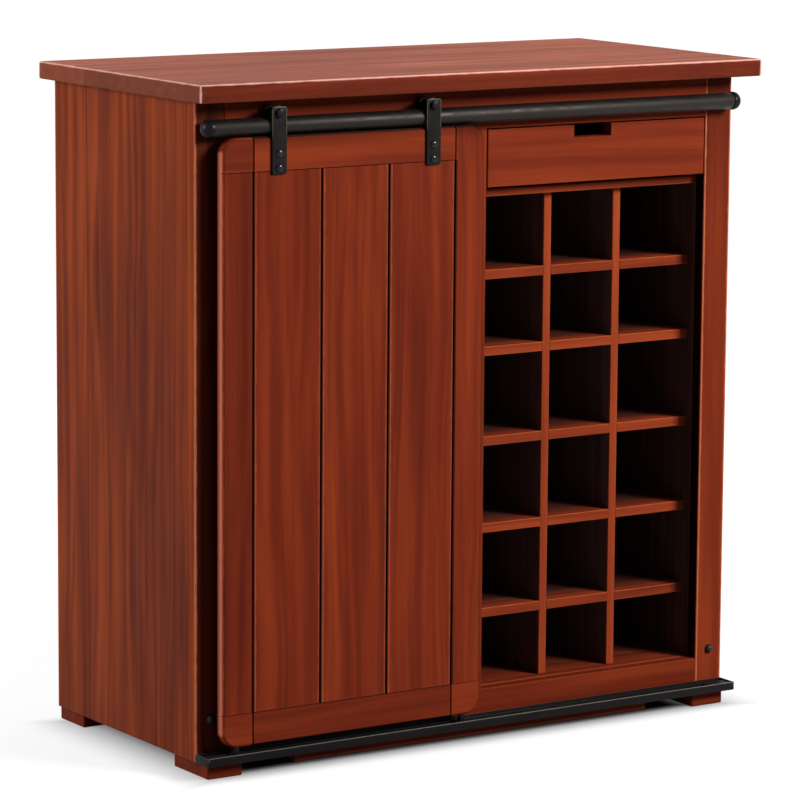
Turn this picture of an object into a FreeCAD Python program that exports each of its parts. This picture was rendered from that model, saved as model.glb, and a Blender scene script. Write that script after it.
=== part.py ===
"""Low bar cabinet with a sliding plank door, one inset drawer and an egg-crate bottle rack.

Millimetres. +X is the viewer's right, +Y is the back, +Z is up.
The origin is on the floor, at the middle of the top slab's outline.
"""
import FreeCAD
import Part
import math
import os

Vec = FreeCAD.Vector
X_AXIS = Vec(1, 0, 0)
Y_AXIS = Vec(0, 1, 0)
Z_AXIS = Vec(0, 0, 1)

# Whole cabinet
CABINET_HEIGHT = 914.0
TOP_WIDTH = 896.0
TOP_DEPTH = 432.0
TOP_THICKNESS = 24.0
TOP_REAR_WIDTH = 127.0
TOP_ROUND = 3.0
FRONT_OVERHANG = 44.0
REAR_OVERHANG = 12.0
SIDE_OVERHANG = 17.0
EDGE_EASE = 0.8

# Case boards
SIDE_THICKNESS = 22.0
SIDE_REAR_WIDTH = 90.0
FRAME_THICKNESS = 20.0
STILE_WIDTH = 44.0
CENTRE_STILE_WIDTH = 42.0
TOP_RAIL_HEIGHT = 56.5
BOTTOM_RAIL_HEIGHT = 44.0
BOTTOM_THICKNESS = 18.0
BACK_THICKNESS = 6.0
PARTITION_THICKNESS = 18.0

# Feet and plinth
FOOT_HEIGHT = 21.0
FOOT_WIDTH = 53.0
FOOT_INSET = 9.0
FRONT_FOOT_DEPTH = 88.0
REAR_FOOT_DEPTH = 66.0
FOOT_PROUD_FRONT = 17.0
FOOT_PROUD_REAR = 10.0
FOOT_EASE = 1.5
PLINTH_END_GAP = 81.0
PLINTH_FLOOR_GAP = 8.0
PLINTH_THICKNESS = 20.0

# Bottle rack
RACK_SETBACK = 34.0
RACK_BOARD = 13.0
DIVIDER_BOARD = 12.0
MIDDLE_COLUMN = 104.0
ROW_OFFSETS = (0.5, -9.5, 9.5, 6.5, 3.5)
LAP_CLEARANCE = 0.2

# Shelf behind the door
SHELF_THICKNESS = 18.0
SHELF_UNDERSIDE = 430.0
SHELF_SETBACK = 12.0
SHELF_CLEARANCE = 1.0
CLEAT_THICKNESS = 12.0
CLEAT_HEIGHT = 20.0

# Drawer
DUST_BOARD = 10.0
DRAWER_OPENING = 84.5
DRAWER_FRONT_LIFT = 5.0
DRAWER_FRONT_GAP = 2.0
DRAWER_BACK_GAP = 20.0
DRAWER_BOARD = 12.0
DRAWER_SIDE_CLEARANCE = 3.0
DRAWER_RUN_CLEARANCE = 0.3
DRAWER_TOP_CLEARANCE = 4.0
DRAWER_BACK_DROP = 8.0
DRAWER_PANEL = 5.0
DRAWER_PANEL_LIFT = 7.7
DRAWER_GROOVE = 6.0
GROOVE_CLEARANCE = 0.1
NOTCH_WIDTH = 62.0
NOTCH_DEPTH = 17.0
NOTCH_LEFT_SHIFT = 9.0
NOTCH_ROUND = 2.0
KICKER_WIDTH = 60.0
KICKER_THICKNESS = 16.0

# Turning stop on the drawer back
BUTTON_LENGTH = 66.0
BUTTON_WIDTH = 14.0
BUTTON_THICKNESS = 6.0
BUTTON_TAIL = 36.0
BUTTON_CATCH = 10.0
BUTTON_GAP = 0.3
BUTTON_SCREW_DIAMETER = 4.0
BUTTON_SCREW_SUNK = 8.0
BUTTON_HEAD_DIAMETER = 8.0
BUTTON_HEAD_HEIGHT = 2.5

# Sliding door
DOOR_FACE_GAP = 13.0
DOOR_THICKNESS = 16.0
DOOR_OVERLAP = 19.0
DOOR_TRACK_GAP = 8.5
DOOR_STILE_WIDTH = 46.0
DOOR_RAIL_HEIGHT = 45.0
DOOR_CORNER_ROUND = 22.0
DOOR_EASE = 1.6
DOOR_RIM_EASE = 3.0
PLANK_COUNT = 3
PLANK_GAP = 2.2
RAIL_LINE = 1.0
TONGUE_LENGTH = 5.0
TONGUE_THICKNESS = 5.0
TONGUE_CLEARANCE = 0.2

# Hanging rail, hangers and wheels
RAIL_DIAMETER = 23.0
RAIL_WALL = 1.5
RAIL_DOOR_GAP = 1.5
CAP_LENGTH = 15.0
CAP_COLLAR = 4.0
CAP_DIAMETER = 25.0
CAP_EASE = 1.5
CAP_TIP_DIAMETER = 8.0
CAP_PLUG = 16.0
CAP_CLEARANCE = 0.1
STANDOFF_DIAMETER = 10.0
WHEEL_WAIST_RADIUS = 5.5
WHEEL_RIM = 3.0
WHEEL_SIDE_GAP = 0.4
WHEEL_FLANGE_RADIUS = 9.5
WHEEL_RAIL_GAP = 0.3
AXLE_DIAMETER = 6.0
RUNNING_CLEARANCE = 0.05
AXLE_HEAD_ACROSS = 11.0
AXLE_HEAD_HEIGHT = 4.5
AXLE_NUT_ACROSS = 10.0
AXLE_NUT_HEIGHT = 2.5
AXLE_SIDE_PLAY = 0.3
STRAP_WIDTH = 22.0
STRAP_THICKNESS = 3.0
STRAP_HEADROOM = 9.7
STRAP_ABOVE_AXLE = 8.0
STRAP_BELOW_DOOR_TOP = 49.0
STRAP_CORNER = 1.5
HANGER_INSET = 83.0
STRAP_BOLT_DROPS = (22.0, 41.0)
STRAP_BOLT_DIAMETER = 6.0
STRAP_BOLT_HEAD_DIAMETER = 11.0
STRAP_BOLT_HEAD_HEIGHT = 3.0
STRAP_BOLT_SUNK = 12.0
HOLE_CLEARANCE = 0.1

# Floor track and door guides
TRACK_WALL = 2.0
TRACK_HEIGHT = 11.5
TRACK_RIB_HEIGHT = 9.5
ROLLER_DIAMETER = 18.0
ROLLER_HEIGHT = 6.0
ROLLER_SIDE_CLEARANCE = 1.0
ROLLER_END_PLAY = 0.2
GUIDE_INSET = 24.0
GUIDE_PIN_DIAMETER = 6.0
GUIDE_PIN_SUNK = 14.0
GUIDE_SHOULDER_DIAMETER = 10.0
GUIDE_HEAD_DIAMETER = 11.0
GUIDE_HEAD_HEIGHT = 1.4
GUIDE_FLOOR_GAP = 0.5
STOP_CLEARANCE = 1.0
PLUG_CLEARANCE = 0.2

# Domed buttons on the outer stiles
BUMPER_DIAMETER = 12.0
BUMPER_HEIGHT = 6.0
BUMPER_ABOVE_RAIL = 12.0

# Flat at the tip of a domed head, as a share of its radius
DOME_TIP = 0.35

# Selections of edges and faces allow this much
TOUCH = 0.01

# Levels
TOP_UNDERSIDE = CABINET_HEIGHT - TOP_THICKNESS
BOTTOM_TOP = FOOT_HEIGHT + BOTTOM_RAIL_HEIGHT
TOP_RAIL_UNDERSIDE = TOP_UNDERSIDE - TOP_RAIL_HEIGHT
DUST_TOP = TOP_RAIL_UNDERSIDE - DRAWER_OPENING
DUST_UNDERSIDE = DUST_TOP - DUST_BOARD
TRACK_TOP = FOOT_HEIGHT + TRACK_HEIGHT
RAIL_RADIUS = RAIL_DIAMETER / 2
STRAP_TOP = TOP_UNDERSIDE - STRAP_HEADROOM
AXLE_LEVEL = STRAP_TOP - STRAP_ABOVE_AXLE
AXLE_ABOVE_RAIL = RAIL_RADIUS + WHEEL_RAIL_GAP + WHEEL_WAIST_RADIUS
RAIL_LEVEL = AXLE_LEVEL - AXLE_ABOVE_RAIL
DOOR_TOP = RAIL_LEVEL - RAIL_RADIUS - RAIL_DOOR_GAP
DOOR_BOTTOM = TRACK_TOP + DOOR_TRACK_GAP

# Depths: the face is the front of the face frame
FACE = -TOP_DEPTH / 2 + FRONT_OVERHANG
FRAME_BACK = FACE + FRAME_THICKNESS
CASE_BACK = TOP_DEPTH / 2 - REAR_OVERHANG
INNER_BACK = CASE_BACK - BACK_THICKNESS
RACK_FRONT = FACE + RACK_SETBACK
LAP_MIDDLE = (RACK_FRONT + INNER_BACK) / 2
DOOR_BACK = FACE - DOOR_FACE_GAP
DOOR_FRONT = DOOR_BACK - DOOR_THICKNESS
DOOR_MIDDLE = (DOOR_BACK + DOOR_FRONT) / 2
LINE_FLOOR = DOOR_MIDDLE - TONGUE_THICKNESS / 2
STRAP_FRONT = DOOR_FRONT - STRAP_THICKNESS

# Wheel: its flanges straddle the tube, which stands where the wheel clears the strap
FLANGE_ABOVE_RAIL = AXLE_ABOVE_RAIL - WHEEL_FLANGE_RADIUS
WAIST_HALF = math.sqrt(RAIL_RADIUS ** 2 - FLANGE_ABOVE_RAIL ** 2) + WHEEL_SIDE_GAP
WHEEL_HALF = WAIST_HALF + WHEEL_RIM
RAIL_DEPTH = DOOR_FRONT + AXLE_SIDE_PLAY + WHEEL_HALF

# Widths
HALF_CASE = TOP_WIDTH / 2 - SIDE_OVERHANG
SIDE_INNER = HALF_CASE - SIDE_THICKNESS
STILE_INNER = HALF_CASE - STILE_WIDTH
STILE_MIDDLE = (STILE_INNER + HALF_CASE) / 2
HALF_CENTRE = CENTRE_STILE_WIDTH / 2
PARTITION_LEFT = HALF_CENTRE - PARTITION_THICKNESS
RIGHT_MIDDLE = (STILE_INNER + HALF_CENTRE) / 2
NOTCH_MIDDLE = RIGHT_MIDDLE - NOTCH_LEFT_SHIFT
DOOR_LEFT = -STILE_INNER - DOOR_OVERLAP
DOOR_RIGHT = -HALF_CENTRE + DOOR_OVERLAP
DOOR_TRAVEL = -DOOR_LEFT - DOOR_RIGHT
HANGER_PLACES = (DOOR_LEFT + HANGER_INSET, DOOR_RIGHT - HANGER_INSET)
GUIDE_PLACES = (DOOR_LEFT + GUIDE_INSET, DOOR_RIGHT - GUIDE_INSET)

# Drawer places
DRAWER_BACK_OUTER = INNER_BACK - DRAWER_BACK_GAP
DRAWER_BACK_INNER = DRAWER_BACK_OUTER - DRAWER_BOARD
DRAWER_LEFT = HALF_CENTRE + DRAWER_SIDE_CLEARANCE
DRAWER_RIGHT = STILE_INNER - DRAWER_SIDE_CLEARANCE
DRAWER_UNDERSIDE = DUST_TOP + DRAWER_RUN_CLEARANCE
DRAWER_SIDE_TOP = TOP_RAIL_UNDERSIDE - DRAWER_TOP_CLEARANCE
DRAWER_BACK_TOP = DRAWER_SIDE_TOP - DRAWER_BACK_DROP
PANEL_UNDERSIDE = DRAWER_UNDERSIDE + DRAWER_PANEL_LIFT
PANEL_TOP = PANEL_UNDERSIDE + DRAWER_PANEL
KICKER_BACK = FRAME_BACK + KICKER_WIDTH
BUTTON_BACK = DRAWER_BACK_INNER - BUTTON_GAP
BUTTON_FRONT = BUTTON_BACK - BUTTON_THICKNESS
BUTTON_TOP = TOP_RAIL_UNDERSIDE + BUTTON_CATCH
BUTTON_PIVOT = BUTTON_TOP - BUTTON_LENGTH + BUTTON_TAIL
DRAWER_TRAVEL = BUTTON_FRONT - KICKER_BACK - STOP_CLEARANCE

# Track section: the rib and the lip hold the rollers in line with the door's middle
ROLLER_RADIUS = ROLLER_DIAMETER / 2
GROOVE_HALF = ROLLER_RADIUS + ROLLER_SIDE_CLEARANCE
RIB_FRONT = DOOR_MIDDLE + GROOVE_HALF
RIB_BACK = RIB_FRONT + TRACK_WALL
LIP_BACK = DOOR_MIDDLE - GROOVE_HALF
LIP_FRONT = LIP_BACK - TRACK_WALL
TRACK_FLOOR = FOOT_HEIGHT + TRACK_WALL


def box(x0, x1, y0, y1, z0, z1):
    """A plain block between two corners."""
    return Part.makeBox(x1 - x0, y1 - y0, z1 - z0, Vec(x0, y0, z0))


def board(x0, x1, y0, y1, z0, z1, ease=EDGE_EASE):
    """A block with every edge eased by a small bevel."""
    block = box(x0, x1, y0, y1, z0, z1)
    return block.makeChamfer(ease, block.Edges)


def rod(radius, start, direction, length):
    """A round bar from a start point."""
    return Part.makeCylinder(radius, length, start, direction)


def prism(points, direction):
    """A straight extrusion of a closed outline."""
    outline = Part.makePolygon(points + points[:1])
    return Part.Face(outline).extrude(direction)


def turned(points, centre, axis, outward):
    """A solid turned about an axis from a closed outline of (along, radius) pairs.

    A third value in a pair makes an arc to it, through that (along, radius) point.
    """
    def place(pair):
        return centre + axis * pair[0] + outward * pair[1]

    edges = []
    corners = [entry[:2] for entry in points]
    for index, entry in enumerate(points):
        start = place(corners[index - 1])
        end = place(corners[index])
        if len(entry) == 3:
            edges.append(Part.Arc(start, place(entry[2]), end).toShape())
        else:
            edges.append(Part.makeLine(start, end))
    return Part.Face(Part.Wire(edges)).revolve(centre, axis, 360)


def hexagon(across, centre, length):
    """A six-sided head that runs along +Y from its centre point."""
    radius = across / 2 / math.cos(math.pi / 6)
    points = []
    for corner in range(6):
        angle = math.pi / 3 * corner + math.pi / 6
        points.append(centre + Vec(radius * math.cos(angle), 0, radius * math.sin(angle)))
    return prism(points, Y_AXIS * length)


def cap_middle(radius, height):
    """Rise and radius half-way up a spherical cap."""
    ball = (radius ** 2 + height ** 2) / (2 * height)
    half = math.atan2(radius, ball - height) / 2
    return height - ball * (1 - math.cos(half)), ball * math.sin(half)


def dome(radius, height, seat):
    """A domed head, in two bevels, that stands out towards -Y from its seat."""
    rise, belly = cap_middle(radius, height)
    profile = [(0, 0), (0, radius), (-rise, belly), (-height, radius * DOME_TIP), (-height, 0)]
    return turned(profile, seat, Y_AXIS, X_AXIS)


def edges_where(shape, test):
    """The edges of a shape whose middle point passes a test."""
    return [edge for edge in shape.Edges if test(edge.CenterOfMass)]


def top_boards():
    """Two glued boards of the overhanging top, rounded along every outer edge."""
    half = TOP_WIDTH / 2
    front = -TOP_DEPTH / 2
    back = TOP_DEPTH / 2
    seam = back - TOP_REAR_WIDTH
    parts = {}
    for name, y0, y1 in (("top_front_board", front, seam), ("top_rear_board", seam, back)):
        slab = box(-half, half, y0, y1, TOP_UNDERSIDE, CABINET_HEIGHT)
        outer = edges_where(slab, lambda middle: abs(middle.y - seam) > TOUCH
                            and abs(middle.z - TOP_UNDERSIDE - TOP_THICKNESS / 2) > TOUCH)
        parts[name] = slab.makeFillet(TOP_ROUND, outer)
    return parts


def side_boards():
    """Each side is a wide front board and a narrow rear board."""
    seam = CASE_BACK - SIDE_REAR_WIDTH
    parts = {}
    for side, x0 in (("left", -HALF_CASE), ("right", SIDE_INNER)):
        for place, y0, y1 in (("front", FRAME_BACK, seam), ("rear", seam, CASE_BACK)):
            parts[side + "_side_" + place + "_board"] = board(
                x0, x0 + SIDE_THICKNESS, y0, y1, FOOT_HEIGHT, TOP_UNDERSIDE)
    return parts


def case_panels():
    """Back, bottom, partition and the lining board on the rack's right."""
    floor = BOTTOM_TOP - BOTTOM_THICKNESS
    return {
        "back_panel": board(-SIDE_INNER, SIDE_INNER, INNER_BACK, CASE_BACK, floor, TOP_UNDERSIDE),
        "bottom_panel": board(-SIDE_INNER, SIDE_INNER, FRAME_BACK, INNER_BACK, floor, BOTTOM_TOP),
        "centre_partition": board(
            PARTITION_LEFT, HALF_CENTRE, FRAME_BACK, INNER_BACK, BOTTOM_TOP, TOP_UNDERSIDE),
        "rack_liner": board(STILE_INNER, SIDE_INNER, FRAME_BACK, INNER_BACK, BOTTOM_TOP, TOP_UNDERSIDE),
    }


def face_frame():
    """Full-height outer stiles, two rails between them and a centre stile between the rails."""
    def piece(x0, x1, z0, z1):
        return board(x0, x1, FACE, FRAME_BACK, z0, z1)

    return {
        "left_stile": piece(-HALF_CASE, -STILE_INNER, FOOT_HEIGHT, TOP_UNDERSIDE),
        "right_stile": piece(STILE_INNER, HALF_CASE, FOOT_HEIGHT, TOP_UNDERSIDE),
        "centre_stile": piece(-HALF_CENTRE, HALF_CENTRE, BOTTOM_TOP, TOP_RAIL_UNDERSIDE),
        "top_rail": piece(-STILE_INNER, STILE_INNER, TOP_RAIL_UNDERSIDE, TOP_UNDERSIDE),
        "bottom_rail": piece(-STILE_INNER, STILE_INNER, FOOT_HEIGHT, BOTTOM_TOP),
    }


def feet_and_plinth():
    """Four block feet and the strip that closes the gap under the floor track."""
    parts = {}
    front = (FACE - FOOT_PROUD_FRONT, FACE - FOOT_PROUD_FRONT + FRONT_FOOT_DEPTH)
    rear = (CASE_BACK + FOOT_PROUD_REAR - REAR_FOOT_DEPTH, CASE_BACK + FOOT_PROUD_REAR)
    outer = HALF_CASE - FOOT_INSET
    for side, x0 in (("left", -outer), ("right", outer - FOOT_WIDTH)):
        for place, depth in (("front", front), ("rear", rear)):
            foot = board(x0, x0 + FOOT_WIDTH, depth[0], depth[1], 0, FOOT_HEIGHT, FOOT_EASE)
            parts[side + "_" + place + "_foot"] = foot
    half = outer - FOOT_WIDTH - PLINTH_END_GAP
    parts["plinth_strip"] = board(
        -half, half, front[0], front[0] + PLINTH_THICKNESS, PLINTH_FLOOR_GAP, FOOT_HEIGHT)
    return parts


def row_levels():
    """The top of each rack shelf, from the highest down."""
    shelves = len(ROW_OFFSETS)
    even = (DUST_UNDERSIDE - BOTTOM_TOP - shelves * RACK_BOARD) / (shelves + 1)
    levels = []
    level = DUST_UNDERSIDE
    for offset in ROW_OFFSETS:
        level -= even + offset
        levels.append(level)
        level -= RACK_BOARD
    return levels


def divider_places():
    """The left face of each upright of the rack."""
    half = MIDDLE_COLUMN / 2
    return (RIGHT_MIDDLE - half - DIVIDER_BOARD, RIGHT_MIDDLE + half)


def bottle_rack():
    """Shelves slotted from the front and uprights slotted from the back, halved over each other."""
    levels = row_levels()
    places = divider_places()
    gap = LAP_CLEARANCE
    dust_board = board(HALF_CENTRE, STILE_INNER, FRAME_BACK, INNER_BACK, DUST_UNDERSIDE, DUST_TOP)
    parts = {"dust_board": dust_board}
    for side, x0 in zip(("left", "right"), places):
        upright = board(x0, x0 + DIVIDER_BOARD, RACK_FRONT, INNER_BACK, BOTTOM_TOP, DUST_UNDERSIDE)
        for level in levels:
            slot = box(x0 - gap, x0 + DIVIDER_BOARD + gap, LAP_MIDDLE - gap, INNER_BACK + gap,
                       level - RACK_BOARD - gap, level + gap)
            upright = upright.cut(slot)
        parts["rack_divider_" + side] = upright
    for row, level in enumerate(levels, 1):
        shelf = board(HALF_CENTRE, STILE_INNER, RACK_FRONT, INNER_BACK, level - RACK_BOARD, level)
        for x0 in places:
            slot = box(x0 - gap, x0 + DIVIDER_BOARD + gap, RACK_FRONT - gap, LAP_MIDDLE,
                       level - RACK_BOARD - gap, level + gap)
            shelf = shelf.cut(slot)
        parts["rack_shelf_" + str(row)] = shelf
    return parts


def door_compartment():
    """The shelf behind the door and the two cleats that it lies on."""
    left = -SIDE_INNER
    right = PARTITION_LEFT
    front = FRAME_BACK + SHELF_SETBACK
    top = SHELF_UNDERSIDE + SHELF_THICKNESS
    foot = SHELF_UNDERSIDE - CLEAT_HEIGHT
    cleats = [board(x0, x0 + CLEAT_THICKNESS, front, INNER_BACK, foot, SHELF_UNDERSIDE)
              for x0 in (left, right - CLEAT_THICKNESS)]
    return {
        "inner_shelf": board(left + SHELF_CLEARANCE, right - SHELF_CLEARANCE, front, INNER_BACK,
                             SHELF_UNDERSIDE, top),
        "shelf_cleats": Part.makeCompound(cleats),
    }


def rail_parts():
    """The tube that the door hangs on, its domed end caps and the posts that hold it off the face."""
    tube_half = HALF_CASE - CAP_LENGTH
    bore = RAIL_RADIUS - RAIL_WALL
    start = Vec(-tube_half, RAIL_DEPTH, RAIL_LEVEL)
    tube = rod(RAIL_RADIUS, start, X_AXIS, 2 * tube_half).cut(rod(bore, start, X_AXIS, 2 * tube_half))
    caps = [rail_cap(Vec(way * tube_half, RAIL_DEPTH, RAIL_LEVEL), X_AXIS * way, bore) for way in (-1, 1)]
    posts = []
    for x in (-STILE_MIDDLE, 0, STILE_MIDDLE):
        post = rod(STANDOFF_DIAMETER / 2, Vec(x, RAIL_DEPTH, RAIL_LEVEL), Y_AXIS, FACE - RAIL_DEPTH)
        posts.append(post.cut(rod(RAIL_RADIUS, start, X_AXIS, 2 * tube_half)))
    return {
        "hanging_rail": tube,
        "rail_end_caps": Part.makeCompound(caps),
        "rail_standoffs": Part.makeCompound(posts),
    }


def rail_cap(seat, outward, bore):
    """A plug with a collar a little thicker than the tube and a domed end."""
    plug = bore - CAP_CLEARANCE
    rim = CAP_DIAMETER / 2
    rise, belly = cap_middle(rim, CAP_LENGTH - CAP_COLLAR)
    profile = [
        (-CAP_PLUG, 0),
        (-CAP_PLUG, plug),
        (0, plug),
        (0, rim - CAP_EASE),
        (CAP_EASE, rim),
        (CAP_COLLAR, rim),
        (CAP_COLLAR + rise, belly),
        (CAP_LENGTH, CAP_TIP_DIAMETER / 2),
        (CAP_LENGTH, 0),
    ]
    return turned(profile, seat, outward, Z_AXIS)


def wheel(x):
    """A wheel whose waist rolls on the tube and whose two flanges straddle it."""
    half = WHEEL_HALF
    flange = WHEEL_FLANGE_RADIUS
    bore = AXLE_DIAMETER / 2 + RUNNING_CLEARANCE
    profile = [
        (-half, bore),
        (-half, flange),
        (-WAIST_HALF, flange),
        (-WAIST_HALF, WHEEL_WAIST_RADIUS),
        (WAIST_HALF, WHEEL_WAIST_RADIUS),
        (WAIST_HALF, flange),
        (half, flange),
        (half, bore),
    ]
    return turned(profile, Vec(x, RAIL_DEPTH, AXLE_LEVEL), Y_AXIS, X_AXIS)


def axle(x):
    """A shouldered bolt through the strap that carries the wheel, with its nut behind."""
    nut_front = RAIL_DEPTH + WHEEL_HALF + AXLE_SIDE_PLAY
    tail = nut_front + AXLE_NUT_HEIGHT
    centre = Vec(x, STRAP_FRONT, AXLE_LEVEL)
    shank = rod(AXLE_DIAMETER / 2, centre, Y_AXIS, tail - STRAP_FRONT)
    head = hexagon(AXLE_HEAD_ACROSS, Vec(x, STRAP_FRONT - AXLE_HEAD_HEIGHT, AXLE_LEVEL), AXLE_HEAD_HEIGHT)
    nut = hexagon(AXLE_NUT_ACROSS, Vec(x, nut_front, AXLE_LEVEL), AXLE_NUT_HEIGHT)
    return shank.fuse([head, nut]).removeSplitter()


def strap(x):
    """A flat hanger strap with clipped corners and three bolt holes."""
    foot = DOOR_TOP - STRAP_BELOW_DOOR_TOP
    half = STRAP_WIDTH / 2
    plate = box(x - half, x + half, STRAP_FRONT, DOOR_FRONT, foot, STRAP_TOP)
    corners = [edge for edge in plate.Edges if edge.Length < STRAP_THICKNESS + TOUCH]
    plate = plate.makeChamfer(STRAP_CORNER, corners)
    axle_seat = Vec(x, STRAP_FRONT, AXLE_LEVEL)
    holes = [rod(AXLE_DIAMETER / 2 + HOLE_CLEARANCE, axle_seat, Y_AXIS, STRAP_THICKNESS)]
    for drop in STRAP_BOLT_DROPS:
        seat = Vec(x, STRAP_FRONT, DOOR_TOP - drop)
        holes.append(rod(STRAP_BOLT_DIAMETER / 2 + HOLE_CLEARANCE, seat, Y_AXIS, STRAP_THICKNESS))
    return plate.cut(Part.makeCompound(holes))


def strap_bolt_seats():
    """Where each bolt head bears on a strap."""
    return [Vec(x, STRAP_FRONT, DOOR_TOP - drop) for x in HANGER_PLACES for drop in STRAP_BOLT_DROPS]


def strap_bolts():
    """Domed bolts that hold the straps to the door's top rail."""
    bolts = []
    for seat in strap_bolt_seats():
        shank = rod(STRAP_BOLT_DIAMETER / 2, seat, Y_AXIS, STRAP_THICKNESS + STRAP_BOLT_SUNK)
        head = dome(STRAP_BOLT_HEAD_DIAMETER / 2, STRAP_BOLT_HEAD_HEIGHT, seat)
        bolts.append(shank.fuse(head).removeSplitter())
    return Part.makeCompound(bolts)


def matched_board(x0, x1, z0, z1, groove_left, tongue_right):
    """An upright door board: a groove on its left or a tongue on its right, and a front set back there.

    The set-back fronts of two neighbours leave an open line down to the tongue.
    """
    front = DOOR_FRONT
    back = DOOR_BACK
    ease = DOOR_EASE
    tongue = TONGUE_THICKNESS / 2
    slot = tongue + TONGUE_CLEARANCE / 2
    depth = TONGUE_LENGTH + TONGUE_CLEARANCE
    left = x0 + PLANK_GAP / 2 if groove_left else x0
    right = x1 - PLANK_GAP / 2 if tongue_right else x1
    left_ease = DOOR_EASE if groove_left else DOOR_RIM_EASE
    right_ease = DOOR_EASE if tongue_right else DOOR_RIM_EASE
    outline = [(left + left_ease, front), (right - right_ease, front), (right, front + right_ease)]
    if tongue_right:
        tip = x1 + TONGUE_LENGTH
        outline += [(right, DOOR_MIDDLE - tongue), (tip, DOOR_MIDDLE - tongue)]
        outline += [(tip, DOOR_MIDDLE + tongue), (x1, DOOR_MIDDLE + tongue)]
    outline += [(x1, back - ease), (x1 - ease, back), (x0 + ease, back), (x0, back - ease)]
    if groove_left:
        outline += [(x0, DOOR_MIDDLE + slot), (x0 + depth, DOOR_MIDDLE + slot)]
        outline += [(x0 + depth, DOOR_MIDDLE - slot), (left, DOOR_MIDDLE - slot)]
    outline += [(left, front + left_ease)]
    return prism([Vec(x, y, z0) for x, y in outline], Z_AXIS * (z1 - z0))


def eased_rim(block, on_rim):
    """Ease a door board's edges that lie on the rim of the door, more in front than behind."""
    for depth, ease in ((DOOR_FRONT, DOOR_RIM_EASE), (DOOR_BACK, DOOR_EASE)):
        edges = edges_where(block, lambda middle: abs(middle.y - depth) < TOUCH and on_rim(middle))
        block = block.makeChamfer(ease, edges)
    return block


def corner_block(way_x, way_z):
    """A square block whose outer corner is rounded in the plane of the door."""
    x_out = DOOR_LEFT if way_x < 0 else DOOR_RIGHT
    z_out = DOOR_BOTTOM if way_z < 0 else DOOR_TOP
    x_in = x_out - way_x * DOOR_STILE_WIDTH
    z_in = z_out - way_z * DOOR_RAIL_HEIGHT
    x0, x1 = sorted((x_out, x_in))
    z0, z1 = sorted((z_out, z_in))
    block = box(x0, x1, DOOR_FRONT, DOOR_BACK, z0, z1)
    corner = edges_where(block, lambda middle: abs(middle.x - x_out) < TOUCH
                         and abs(middle.z - z_out) < TOUCH)
    block = block.makeFillet(DOOR_CORNER_ROUND, corner)
    return eased_rim(block, lambda middle: abs(middle.x - x_in) > TOUCH and abs(middle.z - z_in) > TOUCH)


def door_rail(x0, x1, z_out, z_in):
    """A cross board of the door, eased along the door's rim."""
    z0, z1 = sorted((z_out, z_in))
    block = box(x0, x1, DOOR_FRONT, DOOR_BACK, z0, z1)
    return eased_rim(block, lambda middle: abs(middle.z - z_out) < TOUCH)


def upright_lines(places):
    """Cutters for the open lines where the cross boards meet the stiles."""
    half = PLANK_GAP / 2
    return Part.makeCompound([
        box(x - half, x + half, DOOR_FRONT, LINE_FLOOR, DOOR_BOTTOM, DOOR_TOP) for x in places])


def level_lines(low, high):
    """Cutters for the open lines along the inner edges of the cross boards and corner blocks."""
    levels = (high, low - RAIL_LINE)
    return Part.makeCompound([
        box(DOOR_LEFT, DOOR_RIGHT, DOOR_FRONT, LINE_FLOOR, z, z + RAIL_LINE) for z in levels])


def door_boards():
    """Stiles, rails, corner blocks and tongued planks of the door, drilled for bolts and guide pins.

    The right stile runs through to the door's top; the other three corners have blocks.
    """
    stile_left = DOOR_LEFT + DOOR_STILE_WIDTH
    stile_right = DOOR_RIGHT - DOOR_STILE_WIDTH
    low = DOOR_BOTTOM + DOOR_RAIL_HEIGHT
    high = DOOR_TOP - DOOR_RAIL_HEIGHT
    plank = (stile_right - stile_left) / PLANK_COUNT
    upright = upright_lines((stile_left, stile_right))
    level = level_lines(low, high)
    holes = Part.makeCompound([
        rod(STRAP_BOLT_DIAMETER / 2 + HOLE_CLEARANCE, Vec(seat.x, DOOR_FRONT, seat.z), Y_AXIS,
            STRAP_BOLT_SUNK + HOLE_CLEARANCE) for seat in strap_bolt_seats()])
    sockets = Part.makeCompound([
        rod(GUIDE_SHOULDER_DIAMETER / 2 + HOLE_CLEARANCE, Vec(x, DOOR_MIDDLE, DOOR_BOTTOM), Z_AXIS,
            GUIDE_PIN_SUNK + HOLE_CLEARANCE) for x in GUIDE_PLACES])
    blocks = [corner_block(way_x, way_z).cut(upright).cut(level).cut(sockets)
              for way_x, way_z in ((-1, -1), (-1, 1), (1, -1))]
    right_stile = matched_board(stile_right, DOOR_RIGHT, low, high, True, False)
    right_head = corner_block(1, 1).cut(upright)
    top_rail = door_rail(stile_left, stile_right, DOOR_TOP, high)
    bottom_rail = door_rail(stile_left, stile_right, DOOR_BOTTOM, low)
    parts = {
        "door_left_stile": matched_board(DOOR_LEFT, stile_left, low, high, False, True),
        "door_right_stile": right_stile.fuse(right_head).removeSplitter(),
        "door_top_rail": top_rail.cut(upright).cut(level).cut(holes),
        "door_bottom_rail": bottom_rail.cut(upright).cut(level),
        "door_corner_blocks": Part.makeCompound(blocks),
    }
    for index in range(PLANK_COUNT):
        x0 = stile_left + plank * index
        piece = matched_board(x0, x0 + plank, low, high, True, True)
        parts["door_plank_" + str(index + 1)] = piece.cut(holes)
    return parts


def guide_levels():
    """Underside and top of the guide rollers."""
    low = TRACK_FLOOR + GUIDE_FLOOR_GAP + GUIDE_HEAD_HEIGHT + ROLLER_END_PLAY
    return low, low + ROLLER_HEIGHT


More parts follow.
